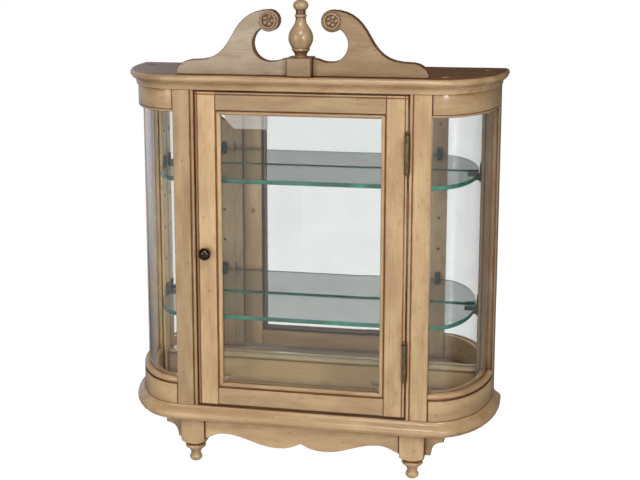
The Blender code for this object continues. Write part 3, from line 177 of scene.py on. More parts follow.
# Light of the room: its share of full white on matt surfaces and in polished ones, how dark its ceiling and
# far end are, and how bright its far left corner looks in polished surfaces
ROOM_LIGHT = 0.5
POLISHED_SHARE = 0.5
CEILING_SHARE = 0.15
BACK_SHARE = 0.14
FAR_LEFT_SHARE = 0.95
FAR_LEFT_COLOUR = "#CCCEDC"
# Where the room changes, as parts of a direction: front to back, wall to ceiling, to the far end and the left
ROOM_FRONT = (-0.8, -0.2)
ROOM_CEILING = (0.02, 0.2)
FAR_END = (0.2, 0.6)
ROOM_LEFT = (-0.12, -0.5)
# The floor: its half-width, how far below the cabinet it lies, where it changes, how much of what the eye
# sees is plain white without shadow, and how white
FLOOR_REACH = 14.0
FLOOR_DROP = 0.45
FLOOR_FRONT = (-1.2, -0.4)
FLOOR_LEFT = (-1.1, -3.8)
FLOOR_PLAIN = 0.9
FLOOR_WHITE = 1.12

# Soft boxes: name, place, aim, side, watts, and whether it lights matt surfaces and shows in polished ones
LAMPS = (
    ("front_box", (0.5, -3.3, 0.7), (0, 0, 0), 1.2, 14, True, False),
    ("right_box", (1.9, -2.6, 0.75), (0, 0, 0), 0.6, 28, True, True),
    ("left_box", (-1.75, -2.75, 0.65), (0, 0, 0), 1.0, 18, True, True),
    ("top_box", (0.25, -1.7, 1.75), (0, -0.1, 0), 0.9, 24, True, True),
    ("back_box", (0.3, 2.6, 0.0), (0, 0, 0), 1.2, 40, True, False),
    ("right_side_box", (2.3, 0.9, 0.3), (0.2, 0, 0), 1.0, 5, True, False),
    ("left_side_box", (-2.3, 0.9, 0.3), (-0.2, 0, 0), 1.0, 7, True, False),
    # Lamplight that the mirror throws forward again, which the renderer leaves out
    ("mirror_bounce", (0, -0.028, 0), (0, -1, 0), 0.42, 0.25, True, False),
    # A small card for the bright streak in the door pane's bevel
    ("bevel_card", (-0.855, -3.2, 0.285), (-0.1, -0.186, 0.22), 0.24, 1.1, False, True),
)


def linear(code):
    """An sRGB hex colour as linear red, green, blue and a full alpha."""
    parts = [int(code[k:k + 2], 16) / 255 for k in (1, 3, 5)]
    return tuple(c / 12.92 if c <= 0.04045 else ((c + 0.055) / 1.055) ** 2.4 for c in parts) + (1.0,)


def feed(tree, node, sockets):
    """Give a node's inputs what they take, each a value or an output to link."""
    for name, value in sockets.items():
        if isinstance(value, bpy.types.NodeSocket):
            tree.links.new(value, node.inputs[name])
        else:
            node.inputs[name].default_value = value


def put(tree, kind, sockets=None, **settings):
    """Add a node: settings are its properties, sockets its inputs, each a value or an output to link."""
    node = tree.nodes.new(kind)
    for name, value in settings.items():
        setattr(node, name, value)
    feed(tree, node, sockets or {})
    return node


def new_material(name, **constants):
    """A material with one Principled shader whose plain sockets are set here."""
    material = bpy.data.materials.new(name)
    material.use_nodes = True
    shader = material.node_tree.nodes["Principled BSDF"]
    for label, value in constants.items():
        shader.inputs[label.replace("_", " ")].default_value = value
    return material, material.node_tree, shader


def along_grain(tree, length, width):
    """Places in the wood, stretched so that a pattern's marks come out this long and this wide."""
    grain = put(tree, "ShaderNodeAttribute", attribute_name="grain").outputs["Vector"]
    stretch = put(tree, "ShaderNodeMapping", {"Vector": grain, "Scale": (1 / length, 1 / width, 1 / width)})
    return stretch.outputs[0]


def speck_share(tree):
    """Specks of glaze two to four millimetres long, in two thirds of the meshes of a loose net."""
    cells = put(tree, "ShaderNodeTexVoronoi", {"Vector": along_grain(tree, *SPECK_NET), "Scale": 1.0})
    picked = put(tree, "ShaderNodeSeparateColor", {0: cells.outputs["Color"]})
    chosen = put(tree, "ShaderNodeMath", {0: picked.outputs[0], 1: SPECK_FREE}, operation="GREATER_THAN")
    spot = put(tree, "ShaderNodeMapRange", {"Value": cells.outputs["Distance"], "From Min": 0.05,
                                            "From Max": 0.09, "To Min": 0.85, "To Max": 0.0})
    speck = put(tree, "ShaderNodeMath", {0: spot.outputs[0], 1: chosen.outputs[0]}, operation="MULTIPLY")
    return speck.outputs[0]


def wiped_glaze_and_shade(tree, glaze_and_shade_hollow, smudges):
    """Glaze that the cloth left thin and uneven, along every outer edge and beside every hollow.

    Beside the hollows the darkening is partly glaze and partly painted shade.
    """
    # Beside the hollows: glaze and painted shade
    near = put(tree, "ShaderNodeMapRange", {"Value": glaze_and_shade_hollow, "From Min": 0.5, "From Max": 0.96,
                                            "To Min": 0.9, "To Max": 0.0})
    rounded = put(tree, "ShaderNodeBevel", {"Radius": RIM_REACH}, samples=6).outputs["Normal"]
    plain = put(tree, "ShaderNodeNewGeometry").outputs["Normal"]
    facing = put(tree, "ShaderNodeVectorMath", {0: rounded, 1: plain}, operation="DOT_PRODUCT")
    rim = put(tree, "ShaderNodeMapRange", {"Value": facing.outputs["Value"], "From Min": 0.78,
                                           "From Max": 0.99, "To Min": 0.9, "To Max": 0.0})
    either = put(tree, "ShaderNodeMath", {0: near.outputs[0], 1: rim.outputs[0]}, operation="MAXIMUM")
    uneven = put(tree, "ShaderNodeMapRange", {"Value": smudges, "From Min": 0.34, "From Max": 0.64,
                                              "To Min": 0.25, "To Max": 1.5})
    tint = put(tree, "ShaderNodeMath", {0: either.outputs[0], 1: uneven.outputs[0]}, operation="MULTIPLY")
    return tint.outputs[0]


def pooled_glaze_and_shade(tree, glaze_and_shade_hollow, smudges):
    """Thick glaze in quirks and joints, darkened further by painted shade where they lie deep.

    Also in patches on the eased edges, and where a piece is marked for thick glaze or for painted shade.
    """
    deepest_glaze_and_shade = put(tree, "ShaderNodeMapRange", {"Value": glaze_and_shade_hollow, "From Min": 0.25, "From Max": 0.62,
                                               "To Min": 0.95, "To Max": 0.0})
    # Inside the narrow gaps round the door less of this dark is laid, a painted lightening so that the deep
    # gaps come out brown rather than black
    lightened_in_gaps = put(tree, "ShaderNodeMapRange", {"Value": glaze_and_shade_hollow, "From Min": 0.06, "From Max": 0.2,
                                            "To Min": 0.15, "To Max": 1.0})
    pooled_and_shaded = put(tree, "ShaderNodeMath", {0: deepest_glaze_and_shade.outputs[0], 1: lightened_in_gaps.outputs[0]}, operation="MULTIPLY")
    edge = put(tree, "ShaderNodeAttribute", attribute_name="arris").outputs["Fac"]
    patchy = put(tree, "ShaderNodeMapRange", {"Value": smudges, "From Min": 0.35, "From Max": 0.6,
                                              "To Min": 0.5, "To Max": 1.0})
    edged = put(tree, "ShaderNodeMath", {0: edge, 1: patchy.outputs[0]}, operation="MULTIPLY")
    lain_and_shaded = put(tree, "ShaderNodeMath", {0: pooled_and_shaded.outputs[0], 1: edged.outputs[0]}, operation="MAXIMUM")
    glaze_and_shade_soak = put(tree, "ShaderNodeAttribute", attribute_name="glaze_and_shade_soak").outputs["Fac"]
    glaze_and_painted_shade = put(tree, "ShaderNodeMath", {0: lain_and_shaded.outputs[0], 1: glaze_and_shade_soak}, operation="MAXIMUM")
    return glaze_and_painted_shade.outputs[0]


def glazed_wood(name, light, deep, streak, rub, glaze, lacquer=0.6):
    """Alder, stained, glazed and lacquered, with hollows brown from glaze and painted shade.

    Soft clouds, faint streaks, specks and a satin shine.
    """
    material, tree, shader = new_material(name, Coat_Weight=lacquer, Coat_Roughness=0.17)
    clouds = put(tree, "ShaderNodeTexNoise", {"Vector": along_grain(tree, *CLOUD), "Scale": 1.0,
                                              "Detail": 3.0}).outputs[0]
    streaks = put(tree, "ShaderNodeTexNoise", {"Vector": along_grain(tree, *STREAK), "Scale": 1.0,
                                               "Detail": 4.0, "Roughness": 0.62}).outputs[0]
    smudges = put(tree, "ShaderNodeTexNoise", {"Vector": along_grain(tree, *SMUDGE), "Scale": 1.0,
                                               "Detail": 7.0, "Roughness": 0.72}).outputs[0]
    # Occlusion: where it is low, the wood is darkened, partly as glaze and partly as painted shade
    glaze_and_shade_hollow = put(tree, "ShaderNodeAmbientOcclusion", {"Distance": GLAZE_AND_SHADE_REACH}, samples=8).outputs["AO"]
    cloud = put(tree, "ShaderNodeMapRange", {"Value": clouds, "From Min": 0.34, "From Max": 0.66})
    line = put(tree, "ShaderNodeMapRange", {"Value": streaks, "From Min": 0.5, "From Max": 0.75,
                                            "To Max": 0.36})
    smudge = put(tree, "ShaderNodeMapRange", {"Value": smudges, "From Min": 0.53, "From Max": 0.76,
                                              "To Max": 0.65})
    # Over the deep stain: lighter clouds, streaks, smudges, specks, glaze wiped thin, and glaze left thick;
    # near the hollows the wiped and the thick glaze both carry painted shade
    layers = ((cloud.outputs[0], light), (line.outputs[0], streak), (smudge.outputs[0], rub),
              (speck_share(tree), glaze), (wiped_glaze_and_shade(tree, glaze_and_shade_hollow, smudges), rub),
              (pooled_glaze_and_shade(tree, glaze_and_shade_hollow, smudges), glaze))
    colour = linear(deep)
    for share, over in layers:
        coat = put(tree, "ShaderNodeMix", {0: share, 6: colour, 7: linear(over)}, data_type="RGBA")
        colour = coat.outputs[2]
    # Each board has a tone of its own: partly uneven stain, partly painted light and shade that lifts or dims
    # the whole board
    tone = put(tree, "ShaderNodeAttribute", attribute_name="tone").outputs["Fac"]
    toned = put(tree, "ShaderNodeVectorMath", {0: colour, "Scale": tone}, operation="SCALE")
    sheen = put(tree, "ShaderNodeMapRange", {"Value": streaks, "To Min": 0.36, "To Max": 0.56})
    ripple = put(tree, "ShaderNodeBump", {"Height": streaks, "Strength": 0.2, "Distance": STREAK_DEPTH})
    feed(tree, shader, {"Base Color": toned.outputs[0], "Roughness": sheen.outputs[0],
                        "Normal": ripple.outputs["Normal"]})
    return material


def raw_plywood():
    """Thin rotary-cut plywood, unfinished: wide wavy figure, dry and quite matt."""
    material, tree, shader = new_material("raw_plywood")
    figure = put(tree, "ShaderNodeTexNoise", {"Vector": along_grain(tree, *PLY_FIGURE), "Scale": 1.0,
                                              "Detail": 5.0, "Distortion": 1.2}).outputs[0]
    wave = put(tree, "ShaderNodeMapRange", {"Value": figure, "From Min": 0.3, "From Max": 0.7})
    colour = put(tree, "ShaderNodeMix", {0: wave.outputs[0], 6: linear("#A88A62"), 7: linear("#C6AB82")},
                 data_type="RGBA")
    dry = put(tree, "ShaderNodeMapRange", {"Value": figure, "To Min": 0.62, "To Max": 0.8})
    bump = put(tree, "ShaderNodeBump", {"Height": figure, "Strength": 0.15, "Distance": PLY_DEPTH})
    feed(tree, shader, {"Base Color": colour.outputs[2], "Roughness": dry.outputs[0],
                        "Normal": bump.outputs["Normal"]})
    return material


def clear_glass(name, tint, clearer, passed, smear):
    """Float glass: clear and glossy, with a breath of smear.

    What is seen through it takes a colour from tint to clearer, in wide patches. Lamplight and soft light
    pass straight through it in the passed colour.
    """
    material, tree, shader = new_material(name, Transmission_Weight=1.0, IOR=1.5)
    place = put(tree, "ShaderNodeTexCoord").outputs["Object"]
    haze = put(tree, "ShaderNodeTexNoise", {"Vector": place, "Scale": 1 / HAZE, "Detail": 2.0}).outputs[0]
    tone = put(tree, "ShaderNodeMix", {0: haze, 6: linear(tint), 7: linear(clearer)}, data_type="RGBA")
    film = put(tree, "ShaderNodeMapRange", {"Value": haze, "From Min": 0.4, "From Max": 0.8, "To Min": 0.0,
                                            "To Max": smear})
    feed(tree, shader, {"Base Color": tone.outputs[2], "Roughness": film.outputs[0]})
    ray = put(tree, "ShaderNodeLightPath")
    soft = put(tree, "ShaderNodeMath", {0: ray.outputs["Is Shadow Ray"], 1: ray.outputs["Is Diffuse Ray"]},
               operation="MAXIMUM")
    through = put(tree, "ShaderNodeBsdfTransparent", {"Color": linear(passed)})
    both = put(tree, "ShaderNodeMixShader", {0: soft.outputs[0], 1: shader.outputs[0], 2: through.outputs[0]})
    feed(tree, tree.nodes["Material Output"], {"Surface": both.outputs[0]})
    return material


def mottled(name, first, second, patch, rough, metallic=0.0, pit=0.05, **constants):
    """Metal or plastic in two close colours, in patches of one size, with uneven gloss and a shallow skin."""
    material, tree, shader = new_material(name, Metallic=metallic, **constants)
    place = put(tree, "ShaderNodeTexCoord").outputs["Object"]
    cover = put(tree, "ShaderNodeTexNoise", {"Vector": place, "Scale": 1 / patch, "Detail": 4.0,
                                             "Roughness": 0.6}).outputs[0]
    share = put(tree, "ShaderNodeMapRange", {"Value": cover, "From Min": 0.35, "From Max": 0.65})
    colour = put(tree, "ShaderNodeMix", {0: share.outputs[0], 6: linear(first), 7: linear(second)},
                 data_type="RGBA")
    gloss = put(tree, "ShaderNodeMapRange", {"Value": cover, "From Min": 0.3, "From Max": 0.7,
                                             "To Min": rough[0], "To Max": rough[1]})
    bump = put(tree, "ShaderNodeBump", {"Height": cover, "Strength": pit, "Distance": SKIN_DEPTH})
    feed(tree, shader, {"Base Color": colour.outputs[2], "Roughness": gloss.outputs[0],
                        "Normal": bump.outputs["Normal"]})
    return material


# Outside wood: warm tan, red-brown beside the hollows (glaze with painted shade), brown in every joint
TAN_WOOD = glazed_wood("glazed_alder", light="#CFAF83", deep="#B5936B", streak="#98764E",
                       rub="#A06D42", glaze="#74431D")
# Left-hand scrolled board: the same stain made paler and greyer, a painted whitish sheen
SHEEN_WOOD = glazed_wood("sheen_painted_alder", light="#C0AD94", deep="#AA957B", streak="#8C7353",
                        rub="#97704B", glaze="#6E4322")
# Block, finial, rosettes, right-hand scroll and right back stile: a browner, darker coat of the same glaze,
# on the right-hand scroll and right back stile partly painted shade
BROWN_WOOD = glazed_wood("browned_and_shaded_alder", light="#B89A74", deep="#9E8059", streak="#82633F",
                         rub="#8A6039", glaze="#60391A")
# Left back stile and back rails: the same stain, a little greener and duller than outside, partly painted
# shade for the inside of the case
INSIDE_WOOD = glazed_wood("inside_alder", light="#BFA275", deep="#AB8F60", streak="#917650",
                          rub="#8C6D45", glaze="#4C3219")
# Upper face of the top board and the scrolls' outlines: a darker red brown, painted shade on faces that the
# lamps light less
TOP_SHADE_WOOD = glazed_wood("top_shade_alder", light="#A4734A", deep="#8A603F", streak="#6B4B33",
                       rub="#704C30", glaze="#3E2717", lacquer=0.45)
# Back panel: pale bare plywood, with no gloss at all
PLYWOOD = raw_plywood()
# Panes: nearly colourless float glass
PANE_GLASS = clear_glass("float_glass", tint="#FAFCFA", clearer="#FFFFFF", passed="#FAFCFA", smear=0.004)
# Shelves: thicker float glass, a little greener and greyer to look through, with ground green edges; the
# greyer look is painted shade for the dim room the shelves reflect, as light passes them nearly clear
SHELF_GLASS = clear_glass("shelf_float_glass", tint="#C9CFCC", clearer="#D8DCDA", passed="#F0F5F2",
                          smear=0.003)
SHELF_EDGE = mottled("ground_glass_edge", "#06503F", "#22866D", patch=30 * MM, rough=(0.12, 0.3), IOR=1.5)
# Mirror: silvered glass, bright, with the slightest clouding
MIRROR = mottled("silvered_mirror", "#E6E8E8", "#EDEEEE", patch=90 * MM, rough=(0.005, 0.02),
                 metallic=1.0, pit=0.0)
# Knob: oil-rubbed bronze, almost black with brown where hands rub it
BRONZE = mottled("oil_rubbed_bronze", "#3A2D28", "#53433B", patch=6 * MM, rough=(0.18, 0.32),
                 metallic=0.85)
# Hinges: antique brass, dulled towards pewter
HINGE_BRASS = mottled("antique_brass", "#6B5D45", "#93866A", patch=8 * MM, rough=(0.35, 0.5), metallic=0.9)
# Shelf supports: steel under thin dark green-black paint
SUPPORT_PAINT = mottled("painted_steel", "#1E2622", "#333B35", patch=5 * MM, rough=(0.35, 0.5), metallic=0.3)
# Knob's screw: plain brass, yellow and fairly bright
BRASS = mottled("plain_brass", "#B58E45", "#CFA95C", patch=4 * MM, rough=(0.25, 0.4), metallic=1.0)
# Screws, brads, strike and hanging plates: zinc plating, pale grey with a soft shine
ZINC = mottled("zinc_plated_steel", "#9A9A97", "#B9BAB8", patch=5 * MM, rough=(0.28, 0.45), metallic=1.0)
# Strips behind the door glass and the catch: moulded dark brown plastic with a dull skin
BROWN_VINYL = mottled("brown_vinyl", "#2E2118", "#423125", patch=12 * MM, rough=(0.4, 0.55))


def add_object(name, data):
    """An object in the scene for a mesh, a lamp or a camera."""
    thing = bpy.data.objects.new(name, data)
    bpy.context.scene.collection.objects.link(thing)
    return thing


def bend_turn(place):
    """How far round a bowed end a point lies, from its front, and how far out."""
    reach = (abs(place.x) - BEND_CENTRE_X) / BEND_REACH
    rise = (BEND_CENTRE_Y - place.y) / BEND_RISE
    return math.atan2(reach, rise), math.hypot(reach, rise)


def grain_at(place, way, shift):
    """A point in wood terms: length along the grain, width and depth, shifted so that no two pieces match."""
    if way == "BEND":
        turn, out = bend_turn(place)
        spot = Vector((turn * (BEND_REACH + BEND_RISE) / 2, place.z, out * BEND_REACH))
    elif way == "X":
        spot = Vector((place.x, place.z, place.y))
    else:
        spot = Vector((place.z, place.x, place.y))
    return spot + Vector(LOG_STEP) * shift


def lay_grain(mesh, node, way, tone):
    """Give each point of a piece its place in the wood, and its tone: stain with painted light and shade."""
    shift = sum(ord(letter) for letter in node) % LOG_PLACES
    low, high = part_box(node)
    left, right = tone if isinstance(tone, tuple) else (tone, tone)
    mesh.attributes.new("grain", "FLOAT_VECTOR", "POINT")
    mesh.attributes.new("tone", "FLOAT", "POINT")
    places = mesh.attributes["grain"].data
    tones = mesh.attributes["tone"].data
    for k, vertex in enumerate(mesh.vertices):
        places[k].vector = grain_at(vertex.co, way, shift)
        along = (vertex.co.x - low.x) / (high.x - low.x)
        tones[k].value = left + (right - left) * along


def mark_flats(shape):
    """Shade flat every face that no neighbour carries on from round a gentle bend."""
    for face in shape.faces:
        bends = [edge.calc_face_angle() for edge in face.edges if len(edge.link_faces) == 2]
        face.smooth = any(FLAT_TURN < bend < SHARP_TURN for bend in bends)


def merged_copy(solid):
    """A CAD solid's loose triangles as one skin, with its flats whole."""
    shape = bmesh.new()
    shape.from_mesh(solid.data)
    bmesh.ops.remove_doubles(shape, verts=shape.verts, dist=MERGE)
    bmesh.ops.dissolve_limit(shape, angle_limit=FLAT_TURN, use_dissolve_boundaries=False, verts=shape.verts,
                             edges=shape.edges)
    mark_flats(shape)
    return shape


def ease_arrises(shape, width, joint):
    """Bevel long sharp outer edges, wider down a rail's ends, and mark the new faces for glaze to catch."""
    mark = shape.faces.layers.float.new("arris")
    for reach, at_ends in ((joint, True), (width, False)):
        chosen = []
        for edge in shape.edges:
            length = edge.calc_length()
            if not reach or len(edge.link_faces) != 2 or length < SHORTEST_EDGE or not edge.is_convex:
                continue
            if edge.calc_face_angle() < SHARP_TURN or any(face[mark] for face in edge.link_faces):
                continue
            upright = abs(edge.verts[0].co.z - edge.verts[1].co.z) > ALONG * length
            if at_ends and not upright:
                continue
            if min(face.calc_area() for face in edge.link_faces) / length > NARROWEST_FACE:
                chosen.append(edge)
        made = bmesh.ops.bevel(shape, geom=chosen, offset=reach, segments=ARRIS_STEPS, profile=0.5,
                               affect="EDGES", clamp_overlap=True)
        for face in made["faces"]:
            face[mark] = 1.0
            face.smooth = True


def mark_narrow(shape):
    """Mark the flats of edges that the CAD has eased already, so that glaze can catch there too."""
    mark = shape.faces.layers.float.new("arris")
    for face in shape.faces:
        if face.calc_area() / max(edge.calc_length() for edge in face.edges) < NARROWEST_FACE:
            face[mark] = 1.0


def soak_hollows(shape, low, high):
    """Let glaze settle in turned work: each point by how hollow the surface is there."""
    mark = shape.verts.layers.float.new("glaze_and_shade_soak")
    shape.normal_update()
    for vert in shape.verts:
        arms = [edge.other_vert(vert).co - vert.co for edge in vert.link_edges]
        lean = sum((arm.dot(vert.normal) / arm.length for arm in arms), 0.0) / len(arms)
        vert[mark] = max(0.0, min(HOLLOW_SOAK, HOLLOW_GAIN * lean))


def soak_carving(shape, low, high):
    """Let glaze settle in carving: each point by how far it lies below the crest."""
    mark = shape.verts.layers.float.new("glaze_and_shade_soak")
    for vert in shape.verts:
        vert[mark] = max(0.0, min(HOLLOW_SOAK, (vert.co.y - low.y - CARVING_CREST) / CARVING_DEPTH))


def shade_latch_edge(shape, low, high):
    """Paint shade on the bead along the door's latch edge."""
    mark = shape.verts.layers.float.new("glaze_and_shade_soak")
    for vert in shape.verts:
        vert[mark] = LATCH_SHADE if vert.co.x < low.x + LATCH_BEAD else 0.0


def soak_ends(shape, low, high):
    """Leave glaze in the joints at both ends of a rail, fading over a couple of millimetres."""
    mark = shape.verts.layers.float.new("glaze_and_shade_soak")
    for end in (low.x + JOINT, high.x - JOINT):
        bmesh.ops.bisect_plane(shape, geom=shape.verts[:] + shape.edges[:] + shape.faces[:],
                               plane_co=(end, 0, 0), plane_no=(1, 0, 0))
    for vert in shape.verts:
        if min(vert.co.x - low.x, high.x - vert.co.x) < JOINT / 2:
            vert[mark] = END_SOAK


def crease_sharp(shape):
    """Make ready for a finer surface: smooth, in four-sided faces, with the sharp edges kept."""
    for face in shape.faces:
        face.smooth = True
    bmesh.ops.join_triangles(shape, faces=shape.faces, angle_face_threshold=QUAD_BEND,
                             angle_shape_threshold=QUAD_LEAN)
    crease = shape.edges.layers.float.new("crease_edge")
    for edge in shape.edges:
        if len(edge.link_faces) == 2 and edge.calc_face_angle() > SHARP_TURN:
            edge[crease] = 1.0


def dress(node, material, grain=None, arris=0.0, fine=0, tone=1.0, soak_and_shade=None, eased=False, second=None):
    """Stand a finished copy in for a CAD solid: merged, eased or made finer, with its grain laid on.

    The tone is one figure, or a pair for a board's left and right ends; it is partly painted light and shade.
    Soak and shade marks where thick glaze or painted shade lies, and eased says that the CAD has eased the
    edges already. A second finish is a material and the rule that picks its faces by their outward direction.
    """
    solid = frame["nodes"][node]
    shape = merged_copy(solid)
    if arris:
        ease_arrises(shape, arris, JOINT if grain in ("X", "BEND") else 0.0)
    if eased:
        mark_narrow(shape)
    if fine:
        crease_sharp(shape)
    if soak_and_shade:
        soak_and_shade(shape, *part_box(node))
    for edge in shape.edges:
        edge.smooth = len(edge.link_faces) != 2 or edge.calc_face_angle() < SHARP_TURN
    mesh = bpy.data.meshes.new(node + "_finished")
    shape.to_mesh(mesh)
    shape.free()
    mesh.materials.append(material)
    if second:
        mesh.materials.append(second[0])
        for face in mesh.polygons:
            face.material_index = 1 if second[1](face.normal) else 0
    if grain:
        lay_grain(mesh, node, grain, tone)
    piece = add_object(node + "_finished", mesh)
    if fine:
        smooth = piece.modifiers.new("finer", "SUBSURF")
        smooth.levels = fine
        smooth.render_levels = fine
    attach(piece, solid["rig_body"])
    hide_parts(node)


def paint(node, material):
    """Give a CAD solid that stays as it is a finish of its own."""
    for slot in frame["nodes"][node].material_slots:
        slot.material = material


def on_rim(out):
    """Faces round a board's outline, and not its front or back."""
    return abs(out.y) < RIM_FACING


def on_top(out):
    """Faces that look straight up."""
    return out.z > ALONG


def on_edge(out):
    """Faces round a flat sheet, and not its top or underside."""
    return abs(out.z) < ALONG


def finish_wood():
    """Every wooden piece, its grain the way a joiner would cut it, and a tone partly of painted light and
    shade.
    """
    for side, stile, rail, frieze, foot in (("left", 0.83, 1.14, 1.0, 1.0), ("right", 1.01, 1.0, 0.88, 1.08)):
        dress("stile_front_" + side, TAN_WOOD, "Z", ARRIS, tone=stile)
        dress("rail_bottom_" + side, TAN_WOOD, "BEND", FINE_ARRIS, tone=rail)
        dress("frieze_" + side, TAN_WOOD, "BEND", FINE_ARRIS, tone=frieze)
        dress("foot_" + side, TAN_WOOD, "Z", tone=foot)
        dress("apron_ear_" + side, TAN_WOOD, "X", ARRIS, tone=0.85)
        dress("rosette_" + side, BROWN_WOOD, "Z", fine=1, tone=0.85, soak_and_shade=soak_carving)
    # The left back stile is lifted well above the rest, painted light where the lamps leave it dark; the right
    # one is dimmed, painted shade
    dress("stile_back_left", INSIDE_WOOD, "Z", ARRIS, tone=1.65)
    dress("stile_back_right", BROWN_WOOD, "Z", ARRIS, tone=0.72)
    # The left scroll's paler coat is a painted sheen and the right one's browner coat partly painted shade;
    # both scrolls' outlines take painted shade
    dress("pediment_left", SHEEN_WOOD, "X", tone=0.85, eased=True, second=(TOP_SHADE_WOOD, on_rim))
    dress("pediment_right", BROWN_WOOD, "X", tone=0.78, eased=True, second=(TOP_SHADE_WOOD, on_rim))
    dress("pediment_block", BROWN_WOOD, "X", tone=0.75, eased=True)
    dress("finial", BROWN_WOOD, "Z", fine=2, tone=0.92, soak_and_shade=soak_hollows)
    # The top board's upper face takes the painted shade of the darker top finish
    dress("cornice_top", TAN_WOOD, "X", tone=0.95, second=(TOP_SHADE_WOOD, on_top))
    # Painted shade on the bead along the latch edge
    dress("door_stile_left", TAN_WOOD, "Z", ARRIS, tone=1.16, soak_and_shade=shade_latch_edge)
    dress("door_stile_right", TAN_WOOD, "Z", ARRIS, tone=1.02)
    dress("door_rail_top", TAN_WOOD, "X", ARRIS, tone=0.76, soak_and_shade=soak_ends)
    dress("door_rail_bottom", TAN_WOOD, "X", ARRIS, tone=0.92, soak_and_shade=soak_ends)
    # Base and apron lighter at the left end and darker at the right: painted light and shade along the board
    dress("base_board", TAN_WOOD, "X", tone=(1.12, 0.94))
    dress("apron_front", TAN_WOOD, "X", ARRIS, tone=(1.16, 0.96))
    dress("back_rail_bottom", INSIDE_WOOD, "X", ARRIS)
    dress("back_rail_top", INSIDE_WOOD, "X", ARRIS)
    dress("back_panel", PLYWOOD, "X")


def bend_point(turn):
    """A point of the right-hand bowed end's outer curve and its outward direction, from front to wall."""
    place = Vector((BEND_CENTRE_X + BEND_REACH * math.sin(turn), BEND_CENTRE_Y - BEND_RISE * math.cos(turn)))
    return place, Vector((BEND_RISE * math.sin(turn), -BEND_REACH * math.cos(turn))).normalized()


def bent_pane(side):
    """A bent pane as one even sweep, finer than the CAD solid, so that reflections run smoothly over it."""
    node = "bent_glass_left" if side < 0 else "bent_glass_right"
    low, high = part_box(node)
    front_x = min(abs(low.x), abs(high.x))
    last = math.acos((BEND_CENTRE_Y - BEND_BACK) / BEND_RISE)
    stations = [(Vector((front_x, BEND_CENTRE_Y - BEND_RISE)), Vector((0, -1)))]
    stations += [bend_point(last * k / PANE_STEPS) for k in range(PANE_STEPS)]
    end, _ = bend_point(last)
    stations += [(Vector((end.x, BEND_BACK)), Vector((1, 0))), (Vector((end.x, high.y)), Vector((1, 0)))]
    outer = PANE_SETBACK
    inner = PANE_SETBACK + PANE_THICKNESS
    shape = bmesh.new()
    rings = []
    for place, out in stations:
        ring = []
        for back, z in ((outer, low.z), (inner, low.z), (inner, high.z), (outer, high.z)):
            spot = place - out * back
            ring.append(shape.verts.new((side * spot.x, spot.y, z)))
        rings.append(ring)
    for near, far in zip(rings, rings[1:]):
        for k in range(4):
            shape.faces.new((near[k], near[(k + 1) % 4], far[(k + 1) % 4], far[k]))
    shape.faces.new(rings[0])
    shape.faces.new(rings[-1])
    bmesh.ops.recalc_face_normals(shape, faces=shape.faces)
    mesh = bpy.data.meshes.new(node + "_finished")
    shape.to_mesh(mesh)
    shape.free()
    mesh.shade_smooth()
    mesh.set_sharp_from_angle(angle=SHARP_TURN)
    mesh.materials.append(PANE_GLASS)
    piece = add_object(node + "_finished", mesh)
    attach(piece, "case")
    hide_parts(node)


def finish_glass():
    """Bent panes, door pane, mirror and shelves."""
    bent_pane(-1)
    bent_pane(1)
    paint("door_glass", PANE_GLASS)
    paint("mirror_pane", MIRROR)
    for level in ("upper", "lower"):
        dress("shelf_" + level, SHELF_GLASS, arris=GLASS_ARRIS, second=(SHELF_EDGE, on_edge))


def finish_fittings():
    """Knob, hinges, supports, strips, catch and hanging plates."""
    dress("knob", BRONZE, fine=2)
    dress("knob_screw", BRASS, fine=1)
    for level in ("upper", "lower"):
        for name in ("hinge_leaf_frame_", "hinge_leaf_door_", "hinge_pin_"):
            dress(name + level, HINGE_BRASS)
        for end in ("front", "back"):
            for side in ("left", "right"):
                dress("support_%s_%s_%s" % (level, end, side), SUPPORT_PAINT,
                      arris=FINE_ARRIS)
    for side in ("left", "right", "bottom", "top"):
        paint("glass_strip_" + side, BROWN_VINYL)
    paint("catch_body", BROWN_VINYL)
    paint("strike_plate", ZINC)
    for side in ("left", "right"):
        paint("hanger_" + side, ZINC)


